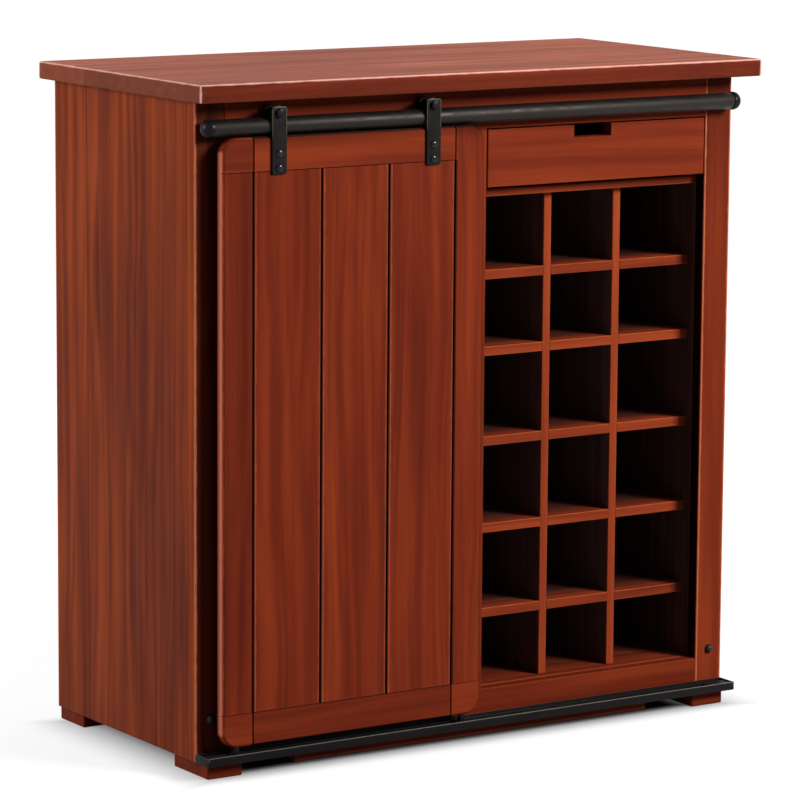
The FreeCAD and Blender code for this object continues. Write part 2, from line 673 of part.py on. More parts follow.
def guide_roller(x):
    """A small upright-axis roller that runs between the track's rib and lip."""
    low, high = guide_levels()
    bore = GUIDE_PIN_DIAMETER / 2 + RUNNING_CLEARANCE
    height = high - low
    profile = [
        (0, bore),
        (0, ROLLER_RADIUS),
        (height, ROLLER_RADIUS),
        (height, bore),
    ]
    return turned(profile, Vec(x, DOOR_MIDDLE, low), Z_AXIS, X_AXIS)


def guide_pin(x):
    """A headed pin that hangs a guide roller under the door; its thick end is let into the corner block."""
    low, high = guide_levels()
    pin = GUIDE_PIN_DIAMETER / 2
    head = GUIDE_HEAD_DIAMETER / 2
    shoulder = GUIDE_SHOULDER_DIAMETER / 2
    seat = low - ROLLER_END_PLAY
    shoulder_low = high + ROLLER_END_PLAY
    profile = [
        (seat - GUIDE_HEAD_HEIGHT, 0),
        (seat - GUIDE_HEAD_HEIGHT, head),
        (seat, head),
        (seat, pin),
        (shoulder_low, pin),
        (shoulder_low, shoulder),
        (DOOR_BOTTOM + GUIDE_PIN_SUNK, shoulder),
        (DOOR_BOTTOM + GUIDE_PIN_SUNK, 0),
    ]
    return turned(profile, Vec(x, DOOR_MIDDLE, 0), Z_AXIS, X_AXIS)


def floor_track():
    """A bent channel across the face: back flange, inner rib, front lip, and a stop plug in each end."""
    wall = TRACK_WALL
    half = HALF_CASE - wall
    low = FOOT_HEIGHT
    floor = TRACK_FLOOR
    rib_top = low + TRACK_RIB_HEIGHT
    section = [
        (FACE, low), (FACE, TRACK_TOP), (FACE - wall, TRACK_TOP), (FACE - wall, floor),
        (RIB_BACK, floor), (RIB_BACK, rib_top), (RIB_FRONT, rib_top), (RIB_FRONT, floor),
        (LIP_BACK, floor), (LIP_BACK, TRACK_TOP), (LIP_FRONT, TRACK_TOP), (LIP_FRONT, low),
    ]
    track = prism([Vec(-half, y, z) for y, z in section], X_AXIS * 2 * half)
    stop = -GUIDE_PLACES[0] + ROLLER_RADIUS + STOP_CLEARANCE
    caps = []
    for way in (-1, 1):
        near = sorted((way * half, way * HALF_CASE))
        plate = board(near[0], near[1], LIP_FRONT, FACE, low, TRACK_TOP, EDGE_EASE / 2)
        reach = sorted((way * stop, way * half))
        plug = box(reach[0], reach[1], LIP_BACK + PLUG_CLEARANCE, RIB_FRONT - PLUG_CLEARANCE,
                   floor, rib_top)
        caps.append(plate.fuse(plug).removeSplitter())
    return {"floor_track": track, "track_end_caps": Part.makeCompound(caps)}


def stile_bumpers():
    """A low domed button near the foot of each outer stile."""
    level = BOTTOM_TOP + BUMPER_ABOVE_RAIL
    radius = BUMPER_DIAMETER / 2
    domes = [dome(radius, BUMPER_HEIGHT, Vec(x, FACE, level)) for x in (-STILE_MIDDLE, STILE_MIDDLE)]
    return {"stile_bumpers": Part.makeCompound(domes)}


def drawer_parts():
    """Front with a finger notch, two grooved sides, a back and a bottom that slides in under the back."""
    front_left = HALF_CENTRE + DRAWER_FRONT_GAP
    front_right = STILE_INNER - DRAWER_FRONT_GAP
    front_low = DUST_TOP + DRAWER_FRONT_LIFT
    front_high = TOP_RAIL_UNDERSIDE - DRAWER_FRONT_GAP
    inner_left = DRAWER_LEFT + DRAWER_BOARD
    inner_right = DRAWER_RIGHT - DRAWER_BOARD
    sunk = DRAWER_GROOVE
    groove = box(inner_left - sunk, inner_right + sunk, FRAME_BACK - sunk, DRAWER_BACK_OUTER + EDGE_EASE,
                 PANEL_UNDERSIDE - GROOVE_CLEARANCE, PANEL_TOP + GROOVE_CLEARANCE)
    front = board(front_left, front_right, FACE, FRAME_BACK, front_low, front_high)
    notch = box(NOTCH_MIDDLE - NOTCH_WIDTH / 2, NOTCH_MIDDLE + NOTCH_WIDTH / 2, FACE - EDGE_EASE,
                FRAME_BACK + EDGE_EASE, front_high - NOTCH_DEPTH, front_high + NOTCH_DEPTH)
    corners = edges_where(notch, lambda middle: abs(middle.z - front_high + NOTCH_DEPTH) < TOUCH
                          and abs(abs(middle.x - NOTCH_MIDDLE) - NOTCH_WIDTH / 2) < TOUCH)
    notch = notch.makeFillet(NOTCH_ROUND, corners)
    back = board(inner_left, inner_right, DRAWER_BACK_INNER, DRAWER_BACK_OUTER,
                 PANEL_TOP + GROOVE_CLEARANCE, DRAWER_BACK_TOP)
    pivot = Vec(RIGHT_MIDDLE, DRAWER_BACK_INNER, BUTTON_PIVOT)
    screw_hole = rod(BUTTON_SCREW_DIAMETER / 2 + HOLE_CLEARANCE, pivot, Y_AXIS,
                     BUTTON_SCREW_SUNK + HOLE_CLEARANCE)
    gap = GROOVE_CLEARANCE
    parts = {
        "drawer_front": front.cut(notch).cut(groove),
        "drawer_back": back.cut(screw_hole),
        "drawer_bottom": box(inner_left - sunk + gap, inner_right + sunk - gap, FRAME_BACK - sunk + gap,
                             DRAWER_BACK_OUTER, PANEL_UNDERSIDE, PANEL_TOP),
    }
    for side, x0 in (("left", DRAWER_LEFT), ("right", inner_right)):
        wall = board(x0, x0 + DRAWER_BOARD, FRAME_BACK, DRAWER_BACK_OUTER,
                     DRAWER_UNDERSIDE, DRAWER_SIDE_TOP)
        parts["drawer_" + side + "_side"] = wall.cut(groove)
    return parts


def drawer_stop():
    """The turning button that stops the open drawer at the kicker rail, and its pivot screw."""
    half = BUTTON_WIDTH / 2
    button = board(RIGHT_MIDDLE - half, RIGHT_MIDDLE + half, BUTTON_FRONT, BUTTON_BACK,
                   BUTTON_TOP - BUTTON_LENGTH, BUTTON_TOP)
    centre = Vec(RIGHT_MIDDLE, BUTTON_FRONT, BUTTON_PIVOT)
    bore = rod(BUTTON_SCREW_DIAMETER / 2 + RUNNING_CLEARANCE, centre, Y_AXIS, BUTTON_THICKNESS)
    seat = centre - Y_AXIS * BUTTON_GAP
    length = BUTTON_GAP + BUTTON_THICKNESS + BUTTON_GAP + BUTTON_SCREW_SUNK
    shank = rod(BUTTON_SCREW_DIAMETER / 2, seat, Y_AXIS, length)
    head = rod(BUTTON_HEAD_DIAMETER / 2, seat, -Y_AXIS, BUTTON_HEAD_HEIGHT)
    return {
        "drawer_stop_button": button.cut(bore),
        "stop_button_screw": shank.fuse(head).removeSplitter(),
        "kicker_rail": board(HALF_CENTRE, STILE_INNER, FRAME_BACK, KICKER_BACK, TOP_RAIL_UNDERSIDE,
                             TOP_RAIL_UNDERSIDE + KICKER_THICKNESS),
    }


def door_hardware():
    """Straps, bolts, axles, wheels, guide pins and guide rollers."""
    parts = {
        "hanger_straps": Part.makeCompound([strap(x) for x in HANGER_PLACES]),
        "strap_bolts": strap_bolts(),
        "hanger_axles": Part.makeCompound([axle(x) for x in HANGER_PLACES]),
        "guide_pins": Part.makeCompound([guide_pin(x) for x in GUIDE_PLACES]),
    }
    for side, hanger, guide in zip(("left", "right"), HANGER_PLACES, GUIDE_PLACES):
        parts[side + "_wheel"] = wheel(hanger)
        parts[side + "_guide_roller"] = guide_roller(guide)
    return parts


def main():
    """Build every piece and write one file for each node."""
    os.makedirs("parts", exist_ok=True)
    groups = (top_boards, side_boards, case_panels, face_frame, feet_and_plinth, bottle_rack,
              door_compartment, rail_parts, floor_track, stile_bumpers, door_boards, door_hardware,
              drawer_parts, drawer_stop)
    for group in groups:
        for name, shape in group().items():
            shape.exportStep("parts/" + name + ".step")
    print("door travel", round(DOOR_TRAVEL, 3), "drawer travel", round(DRAWER_TRAVEL, 3))
    print("axle level", round(AXLE_LEVEL, 3), "rail depth", round(RAIL_DEPTH, 3),
          "hangers", [round(x, 3) for x in HANGER_PLACES])
    print("guides", [round(x, 3) for x in GUIDE_PLACES], "button pivot", round(BUTTON_PIVOT, 3))


main()
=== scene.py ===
"""Dress and light a low bar cabinet with a sliding plank door, a drawer and a bottle rack.

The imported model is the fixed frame, in metres: +X is the viewer's right, +Y the back, +Z up.
"""
import logging
import math
from dataclasses import dataclass, field, replace
from enum import Enum

import bmesh
import bpy
from bpy.types import Material, Mesh, Node, NodeSocket, NodeTree, Object
from mathutils import Matrix, Vector


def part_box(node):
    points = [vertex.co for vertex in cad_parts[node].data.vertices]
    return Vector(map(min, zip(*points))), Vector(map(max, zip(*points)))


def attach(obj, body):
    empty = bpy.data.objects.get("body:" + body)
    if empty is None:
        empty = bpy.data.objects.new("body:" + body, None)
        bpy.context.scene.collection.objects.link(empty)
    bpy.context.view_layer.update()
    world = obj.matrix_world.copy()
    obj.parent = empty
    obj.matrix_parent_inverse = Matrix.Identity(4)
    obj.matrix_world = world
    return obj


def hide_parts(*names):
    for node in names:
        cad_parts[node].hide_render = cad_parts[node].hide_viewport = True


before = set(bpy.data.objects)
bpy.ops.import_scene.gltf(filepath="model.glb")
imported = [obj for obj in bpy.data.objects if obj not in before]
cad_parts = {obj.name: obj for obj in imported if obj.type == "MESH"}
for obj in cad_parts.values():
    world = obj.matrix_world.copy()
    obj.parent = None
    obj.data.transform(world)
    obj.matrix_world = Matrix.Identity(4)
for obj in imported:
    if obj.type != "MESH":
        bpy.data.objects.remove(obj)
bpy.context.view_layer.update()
SCENE = bpy.context.scene
LOG = logging.getLogger("bar_cabinet")
RGB = tuple[int, int, int]
Pair = tuple[float, float]
Triple = tuple[float, float, float]
Box = tuple[Vector, Vector]
X, Y, Z = range(3)
LOW, HIGH = False, True
MM = 0.001
QUARTER_TURN = math.pi / 2
WHITE = (1.0, 1.0, 1.0, 1.0)


def linear(colour: RGB) -> tuple[float, float, float, float]:
    """Turn a display colour into the linear colour that a shader takes.

    Args:
        colour: red, green and blue from 0 to 255.

    Returns:
        Linear red, green and blue with full alpha.
    """
    red, green, blue = (share / 12.92 if share <= 0.04045 else ((share + 0.055) / 1.055) ** 2.4
                        for share in (channel / 255 for channel in colour))
    return red, green, blue, 1.0


class Grain(Enum):
    """The axis that a board's grain runs along, as the turn that brings it to the pattern's X."""

    ALONG_X = (0.0, 0.0, 0.0)
    ALONG_Y = (0.0, 0.0, -QUARTER_TURN)
    ALONG_Z = (0.0, QUARTER_TURN, 0.0)

    def run_on(self, box: Box) -> Box:
        """Draw a box out along the grain, so that only its long arrises are left."""
        reach = Vector(float(axis == "XYZ".index(self.name[-1])) for axis in range(3))
        return box[0] - reach, box[1] + reach


@dataclass(frozen=True)
class Noise:
    """A noise by its waves per metre along the grain and across it, and how much it counts."""

    along: float
    across: float
    detail: float
    rough: float = 0.5
    weight: float = 1.0


WANDER = Noise(2.2, 9.0, 1.0, weight=0.03)
BROAD = Noise(1.1, 62.0, 2.0, 0.45, 1.55)
FINE = Noise(4.0, 310.0, 3.0, 0.6, 0.5)
CLOUD = Noise(2.6, 11.0, 2.0)
RINGS = Noise(0.7, 16.0, 1.0, weight=0.08)
DASHES = Noise(38.0, 1500.0, 1.0)
UNEVEN = Noise(60.0, 60.0, 2.0)
WIPED = Noise(1.0, 1.0, 4.0)
NOISE_MEAN = 0.5
RING_PHASE = 58.0
PORE_RANGE = (0.6, 0.74)
FINE_RELIEF = 0.6
EDGE_CORE = 0.25
WIPED_RANGE = (0.3, 0.7)


class Graph:
    """A node tree with short calls for adding and linking nodes."""

    def __init__(self, tree: NodeTree) -> None:
        """Wrap a tree."""
        self.tree = tree

    def give(self, node: Node, entry: str | int, value: object) -> None:
        """Link a socket to an input of a node, or set a value there.

        Args:
            node: the node.
            entry: the input's name or number.
            value: the socket or the value.
        """
        if isinstance(value, NodeSocket):
            self.tree.links.new(value, node.inputs[entry])
        else:
            node.inputs[entry].default_value = value

    def add(self, kind: str, inputs: dict | None = None, **settings: object) -> Node:
        """Add a node.

        Args:
            kind: Blender's name for the node.
            inputs: a value or a socket to link, by input name or number.
            settings: properties of the node.

        Returns:
            The new node.
        """
        node = self.tree.nodes.new(kind)
        for key, value in settings.items():
            setattr(node, key, value)
        for key, value in (inputs or {}).items():
            self.give(node, key, value)
        return node

    def maths(self, operation: str, first: object, second: object = 0.0) -> NodeSocket:
        """Add a Math node and give its result."""
        return self.add("ShaderNodeMath", {0: first, 1: second}, operation=operation).outputs[0]

    def vector(self, operation: str, first: object, second: object) -> NodeSocket:
        """Add a Vector Math node and give its result."""
        inputs = {0: first, 1: second}
        return self.add("ShaderNodeVectorMath", inputs, operation=operation).outputs[0]

    def axes(self, vector: object) -> list[NodeSocket]:
        """Split a vector into its three axes."""
        return list(self.add("ShaderNodeSeparateXYZ", {0: vector}).outputs)

    def joined(self, x: object = 0.0, y: object = 0.0, z: object = 0.0) -> NodeSocket:
        """Make a vector of three axes."""
        return self.add("ShaderNodeCombineXYZ", {X: x, Y: y, Z: z}).outputs[0]

    def noise(self, vector: object, kind: Noise) -> NodeSocket:
        """Add a noise that is drawn out along the pattern's X."""
        placed = self.vector("MULTIPLY", vector, (kind.along, kind.across, kind.across))
        inputs = {"Vector": placed, "Scale": 1.0, "Detail": kind.detail, "Roughness": kind.rough}
        return self.add("ShaderNodeTexNoise", inputs).outputs[0]

    def ranged(self, value: object, low: float, high: float, to_low: float = 0.0,
               to_high: float = 1.0) -> NodeSocket:
        """Add a smooth Map Range node and give its result."""
        return self.add("ShaderNodeMapRange", {0: value, 1: low, 2: high, 3: to_low, 4: to_high},
                        interpolation_type="SMOOTHSTEP").outputs[0]

    def mixed(self, share: object, first: object, second: object, blend: str = "MIX") -> NodeSocket:
        """Add a colour Mix node and give its result."""
        return self.add("ShaderNodeMix", {0: share, 6: first, 7: second}, data_type="RGBA",
                        blend_type=blend).outputs[2]

    def show(self, plain: NodeSocket, shown: NodeSocket, output: str) -> None:
        """Show one shader, also in reflections and through glass, and light with another.

        Args:
            plain: the shader that carries light.
            shown: the shader that is seen.
            output: the name of the output node.
        """
        rays = self.add("ShaderNodeLightPath").outputs
        seen = self.maths("MAXIMUM", rays["Is Camera Ray"], rays["Is Glossy Ray"])
        seen = self.maths("MAXIMUM", seen, rays["Is Transmission Ray"])
        choice = self.add("ShaderNodeMixShader", {0: seen, 1: plain, 2: shown}).outputs[0]
        self.give(self.tree.nodes[output], "Surface", choice)


class Skin(Graph):
    """The graph of a new material, with its shader and the object coordinates."""

    def __init__(self, name: str) -> None:
        """Make the material."""
        self.made = bpy.data.materials.new(name)
        self.made.use_nodes = True
        super().__init__(self.made.node_tree)
        self.shader = self.tree.nodes["Principled BSDF"]
        self.place = self.add("ShaderNodeTexCoord").outputs["Object"]


def node_group(name: str, kind: str, inputs: dict[str, str],
               outputs: dict[str, str]) -> tuple[Graph, dict[str, NodeSocket], Node]:
    """Start a node group.

    Args:
        name: the group's name.
        kind: Shader or Geometry.
        inputs: the kind of socket by input name.
        outputs: the kind of socket by output name.

    Returns:
        The graph, its input sockets by name, and its output node.
    """
    tree = bpy.data.node_groups.new(name, kind + "NodeTree")
    for way, sockets in (("INPUT", inputs), ("OUTPUT", outputs)):
        for label, sort in sockets.items():
            tree.interface.new_socket(label, in_out=way, socket_type="NodeSocket" + sort)
    graph = Graph(tree)
    put = graph.add("NodeGroupInput").outputs
    return graph, {label: put[label] for label in inputs}, graph.add("NodeGroupOutput")


class SharedEffects:
    """The node groups that several finishes use."""

    def __init__(self) -> None:
        """Build each group once."""
        self.grain = self.build_grain()
        self.edge = self.build_edge()
        self.sheen = self.build_sheen()

    def rubbed(self, skin: Skin, box: Box, width: float, strength: float, base: NodeSocket,
               colour: RGB) -> NodeSocket:
        """Lighten a colour along the arrises of a box: light wear there and a painted highlight.

        Args:
            skin: the material.
            box: lowest and highest corners.
            width: how far the rub reaches from an arris.
            strength: how much of the colour shows on an arris.
            base: the colour away from the arrises.
            colour: the colour on them.

        Returns:
            The colour with its arrises lightened.
        """
        inputs = {"Vector": skin.place, "Low": box[0], "High": box[1], "Width": width}
        edge = skin.add("ShaderNodeGroup", inputs, node_tree=self.edge).outputs["Edge"]
        return skin.mixed(skin.maths("MULTIPLY", edge, strength), base, linear(colour))

    def surface(self, skin: Skin, sheen: float, rough: Pair, bump: dict[str, object]) -> None:
        """Give a material an uneven gloss and a fine relief.

        Args:
            skin: the material.
            sheen: how often the gloss changes, per metre.
            rough: the lowest and the highest roughness.
            bump: the inputs of the relief.
        """
        inputs = {"Vector": skin.place, "Frequency": sheen}
        rub = skin.add("ShaderNodeGroup", inputs, node_tree=self.sheen).outputs["Rub"]
        skin.give(skin.shader, "Roughness", skin.ranged(rub, 0.0, 1.0, *rough))
        skin.give(skin.shader, "Normal", skin.add("ShaderNodeBump", bump).outputs[0])

    @staticmethod
    def build_grain() -> NodeTree:
        """Build wood grain along X: broad and fine streaks, rings and pores.

        Returns:
            The group, with Tone, Pores and Height.
        """
        graph, put, out = node_group(
            "plank_grain", "Shader", {"Vector": "Vector", "Contrast": "Float", "Shift": "Float"},
            {"Tone": "Float", "Pores": "Float", "Height": "Float"})
        wander = graph.maths("SUBTRACT", graph.noise(put["Vector"], WANDER), NOISE_MEAN)
        drift = graph.maths("MULTIPLY", wander, WANDER.weight)
        bent = graph.vector("ADD", put["Vector"], graph.joined(y=drift, z=drift))
        fine = graph.noise(bent, FINE)
        parts = ((graph.noise(bent, BROAD), BROAD.weight), (fine, FINE.weight),
                 (graph.noise(put["Vector"], CLOUD), CLOUD.weight))
        phase = graph.maths("MULTIPLY", graph.noise(bent, RINGS), RING_PHASE)
        total = graph.maths("MULTIPLY", graph.maths("SINE", phase), RINGS.weight)
        for value, weight in parts:
            share = graph.maths("MULTIPLY", graph.maths("SUBTRACT", value, NOISE_MEAN), weight)
            total = graph.maths("ADD", total, share)
        spread = graph.maths("MULTIPLY", total, put["Contrast"])
        tone = graph.maths("ADD", graph.maths("ADD", spread, MIDDLE_STOP), put["Shift"])
        pores = graph.ranged(graph.noise(bent, DASHES), *PORE_RANGE)
        height = graph.maths("SUBTRACT", graph.maths("MULTIPLY", fine, FINE_RELIEF), pores)
        for label, value in (("Tone", tone), ("Pores", pores), ("Height", height)):
            graph.give(out, label, value)
        return graph.tree

    @staticmethod
    def build_edge() -> NodeTree:
        """Build a mask of a board's arrises: the second smallest distance to its box's faces.

        Returns:
            The group, with Edge.
        """
        kinds = {"Vector": "Vector", "Low": "Vector", "High": "Vector", "Width": "Float"}
        graph, put, out = node_group("board_arris", "Shader", kinds, {"Edge": "Float"})
        low_gap = graph.vector("SUBTRACT", put["Vector"], put["Low"])
        high_gap = graph.vector("SUBTRACT", put["High"], put["Vector"])
        gaps = graph.axes(graph.vector("MINIMUM", low_gap, high_gap))
        lesser = graph.maths("MINIMUM", gaps[X], gaps[Y])
        greater = graph.maths("MAXIMUM", gaps[X], gaps[Y])
        second = graph.maths("MAXIMUM", lesser, graph.maths("MINIMUM", greater, gaps[Z]))
        uneven = graph.maths("ADD", graph.noise(put["Vector"], UNEVEN), NOISE_MEAN)
        near = graph.maths("DIVIDE", second, graph.maths("MULTIPLY", put["Width"], uneven))
        graph.give(out, "Edge", graph.ranged(near, EDGE_CORE, 1.0, 1.0, 0.0))
        return graph.tree

    @staticmethod
    def build_sheen() -> NodeTree:
        """Build the uneven rub of a hand-wiped or sprayed surface.

        Returns:
            The group, with Rub from 0 to 1.
        """
        graph, put, out = node_group(
            "wiped_sheen", "Shader", {"Vector": "Vector", "Frequency": "Float"}, {"Rub": "Float"})
        placed = graph.add("ShaderNodeVectorMath", {0: put["Vector"], 3: put["Frequency"]},
                           operation="SCALE").outputs[0]
        graph.give(out, "Rub", graph.ranged(graph.noise(placed, WIPED), *WIPED_RANGE))
        return graph.tree


def dress(piece: Object, material: Material) -> None:
    """Give a piece one material."""
    piece.data.materials.clear()
    piece.data.materials.append(material)


@dataclass(frozen=True)
class FaceStain:
    """A colour that one flat face of a board takes more than the rest: end grain and dark joints,
    and also painted shade and painted highlight.
    """

    axis: int
    high: bool
    colour: RGB
    blend: str = "MULTIPLY"
    strength: float = 1.0
    reach: float = 0.8 * MM

    def over(self, skin: Skin, box: Box, base: NodeSocket) -> NodeSocket:
        """Lay the mark over a colour.

        Args:
            skin: the material.
            box: the board's lowest and highest corners.
            base: the colour of the other faces.

        Returns:
            The marked colour.
        """
        face = box[self.high][self.axis]
        away = skin.maths("SUBTRACT", skin.axes(skin.place)[self.axis], face)
        share = skin.ranged(skin.maths("ABSOLUTE", away), 0.0, self.reach, self.strength, 0.0)
        return skin.mixed(share, base, linear(self.colour), self.blend)


@dataclass(frozen=True)
class Cut:
    """How one board is cut and stained, and where it takes painted shade and painted highlight.

    Attributes:
        grain: the way that its grain runs.
        shift: how much lighter or darker than the rest it is.
        fade: the depth behind its front over which its colour goes over to painted shade, as in the
            cells and in the door's grooves, or 0.
        whole: the corners of the glued-up panel round it, whose rim takes a painted highlight, if
            any.
        stains: the faces that take a colour of their own: end grain, dark joints, painted shade and
            painted highlight.
        face: the corners of the part that shows, where the board's box reaches farther.
    """

    grain: Grain
    shift: float = 0.0
    fade: float = 0.0
    whole: Box | None = None
    stains: tuple[FaceStain, ...] = ()
    face: Box | None = None


SEED_STEPS = ((0.731, 7.0), (1.377, 5.0), (2.113, 6.0))
DARK_STOP, MIDDLE_STOP, LIGHT_STOP = 0.12, 0.5, 0.9
PORE_SHARE = 0.35
# Painted shade behind a board's front: where it starts, and how its tone spreads with the grain.
SHADE_START = 0.5 * MM
SHADE_SHARES = (0.7, 1.25)
WOOD_SHEEN = 14.0
WOOD_BUMP = {"Strength": 0.25, "Distance": 0.0003}


@dataclass(frozen=True)
class WoodFinish:
    """A stained and lacquered wood."""

    name: str
    dark: RGB
    middle: RGB
    light: RGB
    # The arris colour is light wear and a painted highlight along the long arrises.
    arris: RGB
    roughness: float = 0.42
    contrast: float = 0.7
    arris_width: float = 1.4 * MM
    arris_strength: float = 0.3
    # The rim colour is a painted highlight along the outer rim of a glued-up panel.
    rim: RGB = (206, 112, 76)
    rim_width: float = 3.6 * MM
    rim_strength: float = 0.8
    rub: float = 0.02
    specular: float = 0.025
    # The colour of the painted shade that a board goes over to behind its front.
    deep: RGB = (62, 44, 40)

    def material(self, board: str, cut: Cut, seed: int, shared: SharedEffects) -> Material:
        """Build the finish for one board.

        Args:
            board: the board's name in the frame.
            cut: how it is cut and stained.
            seed: picks the part of the pattern that it is cut from.
            shared: the shared node groups.

        Returns:
            The board's own material.
        """
        skin = Skin(self.name + "_" + board)
        face = cut.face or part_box(board)
        offset = tuple(seed * step % span for step, span in SEED_STEPS)
        turn = {"Vector": skin.place, "Location": offset, "Rotation": cut.grain.value}
        inputs = {"Vector": skin.add("ShaderNodeMapping", turn).outputs[0],
                  "Contrast": self.contrast, "Shift": cut.shift}
        wood = skin.add("ShaderNodeGroup", inputs, node_tree=shared.grain).outputs
        ramp = skin.add("ShaderNodeValToRGB", {0: wood["Tone"]})
        stops = ramp.color_ramp.elements
        stops[0].position, stops[0].color = DARK_STOP, linear(self.dark)
        stops[1].position, stops[1].color = LIGHT_STOP, linear(self.light)
        stops.new(MIDDLE_STOP).color = linear(self.middle)
        # Light wear and a painted highlight along the long arrises.
        colour = shared.rubbed(skin, cut.grain.run_on(face), self.arris_width, self.arris_strength,
                               ramp.outputs[0], self.arris)
        # Marks on single faces: end grain and dark joints, painted shade and painted highlight.
        for stain_and_light in cut.stains:
            colour = stain_and_light.over(skin, face, colour)
        # Painted highlight along the rim of the glued-up panel.
        if cut.whole:
            colour = shared.rubbed(skin, cut.whole, self.rim_width, self.rim_strength, colour,
                                   self.rim)
        pores = skin.maths("MULTIPLY", wood["Pores"], PORE_SHARE)
        colour = skin.mixed(pores, colour, linear(self.dark))
        # Painted shade: behind the front the colour goes over to a dark shade colour, standing in
        # for the shade inside the case and in grooves.
        if cut.fade:
            front = face[0].y
            shade_share = skin.ranged(skin.axes(skin.place)[Y], front + SHADE_START, front + cut.fade)
            ends = [linear(tuple(round(channel * share) for channel in self.deep))
                    for share in SHADE_SHARES]
            colour = skin.mixed(shade_share, colour, skin.mixed(wood["Tone"], *ends))
        skin.give(skin.shader, "Base Color", colour)
        shared.surface(skin, WOOD_SHEEN, (self.roughness - self.rub, self.roughness + self.rub),
                       {**WOOD_BUMP, "Height": wood["Height"]})
        skin.give(skin.shader, "Specular IOR Level", self.specular)
        return skin.made


HARD_SHEEN = 45.0
SPOT_DETAIL = 2.0
FLECK_RANGE = (0.62, 0.8)
# Wear and a painted highlight on the upper arrises of some hard pieces.
WEAR_AND_HIGHLIGHT_RISE = 0.3
WEAR_AND_HIGHLIGHT_WIDTH = 1.3 * MM
WEAR_AND_HIGHLIGHT_SHARE = 0.9
SMOOTHER, ROUGHER = 0.05, 0.08
HARD_RELIEF = 0.0002


@dataclass(frozen=True)
class HardFinish:
    """A painted, moulded or bare hard surface with a fine texture."""

    name: str
    colour: RGB
    worn: RGB
    roughness: float
    metallic: float = 0.0
    speckle: float = 900.0
    bump: float = 0.12
    specular: float = 0.5
    flecks: float = 0.3
    tint: RGB = (255, 255, 255)

    def material(self, shared: SharedEffects, piece: str = "", box: Box | None = None) -> Material:
        """Build the finish.

        Args:
            shared: the shared node groups.
            piece: the piece that it is for, when the wear is its own.
            box: the piece's corners, whose upper arrises take wear and a painted highlight, if any.

        Returns:
            The material.
        """
        skin = Skin(self.name + "_" + piece if piece else self.name)
        spots = skin.noise(skin.place, Noise(self.speckle, self.speckle, SPOT_DETAIL))
        fleck = skin.ranged(spots, *FLECK_RANGE, 0.0, self.flecks)
        base = skin.mixed(fleck, linear(self.colour), linear(self.worn))
        # The upper arrises only, and more towards the top: wear and a painted highlight.
        if box:
            middle = (box[0].z + box[1].z) / 2
            top = middle + (box[1].z - middle) * WEAR_AND_HIGHLIGHT_RISE
            upper = skin.ranged(skin.axes(skin.place)[Z], middle, top)
            worn = shared.rubbed(skin, box, WEAR_AND_HIGHLIGHT_WIDTH, WEAR_AND_HIGHLIGHT_SHARE, base, self.worn)
            base = skin.mixed(upper, base, worn)
        shared.surface(skin, HARD_SHEEN, (self.roughness - SMOOTHER, self.roughness + ROUGHER),
                       {"Strength": self.bump, "Distance": HARD_RELIEF, "Height": spots})
        values = {"Base Color": base, "Metallic": self.metallic,
                  "Specular IOR Level": self.specular, "Specular Tint": linear(self.tint)}
        for entry, value in values.items():
            skin.give(skin.shader, entry, value)
        return skin.made


CASE_WOOD = WoodFinish("case_wood", (88, 28, 15), (115, 42, 21), (142, 57, 27), (182, 84, 46),
                       arris_strength=0.15, contrast=0.55)
SIDE_WOOD = WoodFinish("side_wood", (90, 34, 17), (116, 47, 21), (142, 62, 28), (150, 70, 44),
                       arris_strength=0.0, contrast=1.05)
DOOR_WOOD = WoodFinish("door_wood", (80, 26, 15), (109, 39, 21), (138, 54, 26), (190, 88, 48),
                       contrast=0.6, arris_width=2.4 * MM, arris_strength=0.42,
                       rim_width=2.4 * MM, rim_strength=0.35, deep=(38, 20, 18))
DOOR_RAIL_WOOD = replace(DOOR_WOOD, name="door_rail_wood", arris_strength=0.0)
# The planks take a stronger painted highlight along the arrises beside the seams.
PLANK_WOOD = replace(DOOR_WOOD, name="plank_wood", arris=(206, 104, 66), arris_width=4.2 * MM,
                     arris_strength=0.5)
DRAWER_WOOD = WoodFinish("drawer_wood", (98, 34, 18), (121, 45, 23), (142, 57, 28), (178, 82, 44),
                         contrast=0.6)
TOP_WOOD = WoodFinish("top_wood", (98, 46, 30), (123, 62, 43), (148, 79, 57), (150, 70, 44),
                      arris_strength=0.0, roughness=0.6, contrast=1.0, rim=(236, 186, 170),
                      rim_width=3.0 * MM, rim_strength=0.65, rub=0.012, specular=0.055)
# The rack woods go over to painted shade behind their fronts, for the dim cells.
RACK_WOOD = WoodFinish("rack_wood", (100, 36, 18), (130, 51, 27), (154, 66, 34), (204, 102, 58),
                       arris_strength=0.5, deep=(60, 32, 27))
UPRIGHT_WOOD = replace(RACK_WOOD, name="upright_wood", deep=(80, 60, 57))
INNER_WOOD = WoodFinish("inner_wood", (56, 37, 33), (76, 51, 46), (94, 64, 56), (108, 72, 62),
                        roughness=0.65, arris_strength=0.2)
BLACK_METAL = HardFinish("black_metal", (21, 18, 18), (96, 88, 76), 0.3, specular=0.075)
BOLT_METAL = HardFinish("bolt_metal", (15, 13, 13), (96, 88, 76), 0.14, specular=0.22)
RAIL_METAL = HardFinish("rail_metal", (17, 15, 14), (84, 78, 66), 0.47, specular=0.2, flecks=0.08,
                        tint=(255, 238, 226))
TRACK_METAL = HardFinish("track_metal", (20, 17, 17), (104, 99, 94), 0.34, specular=0.06,
                         flecks=0.06)
BLACK_PLASTIC = HardFinish("black_plastic", (24, 21, 21), (60, 56, 52), 0.5, speckle=600.0,
                           specular=0.08)
BLACK_RUBBER = HardFinish("black_rubber", (20, 17, 17), (40, 38, 37), 0.4, speckle=420.0,
                          specular=0.2)
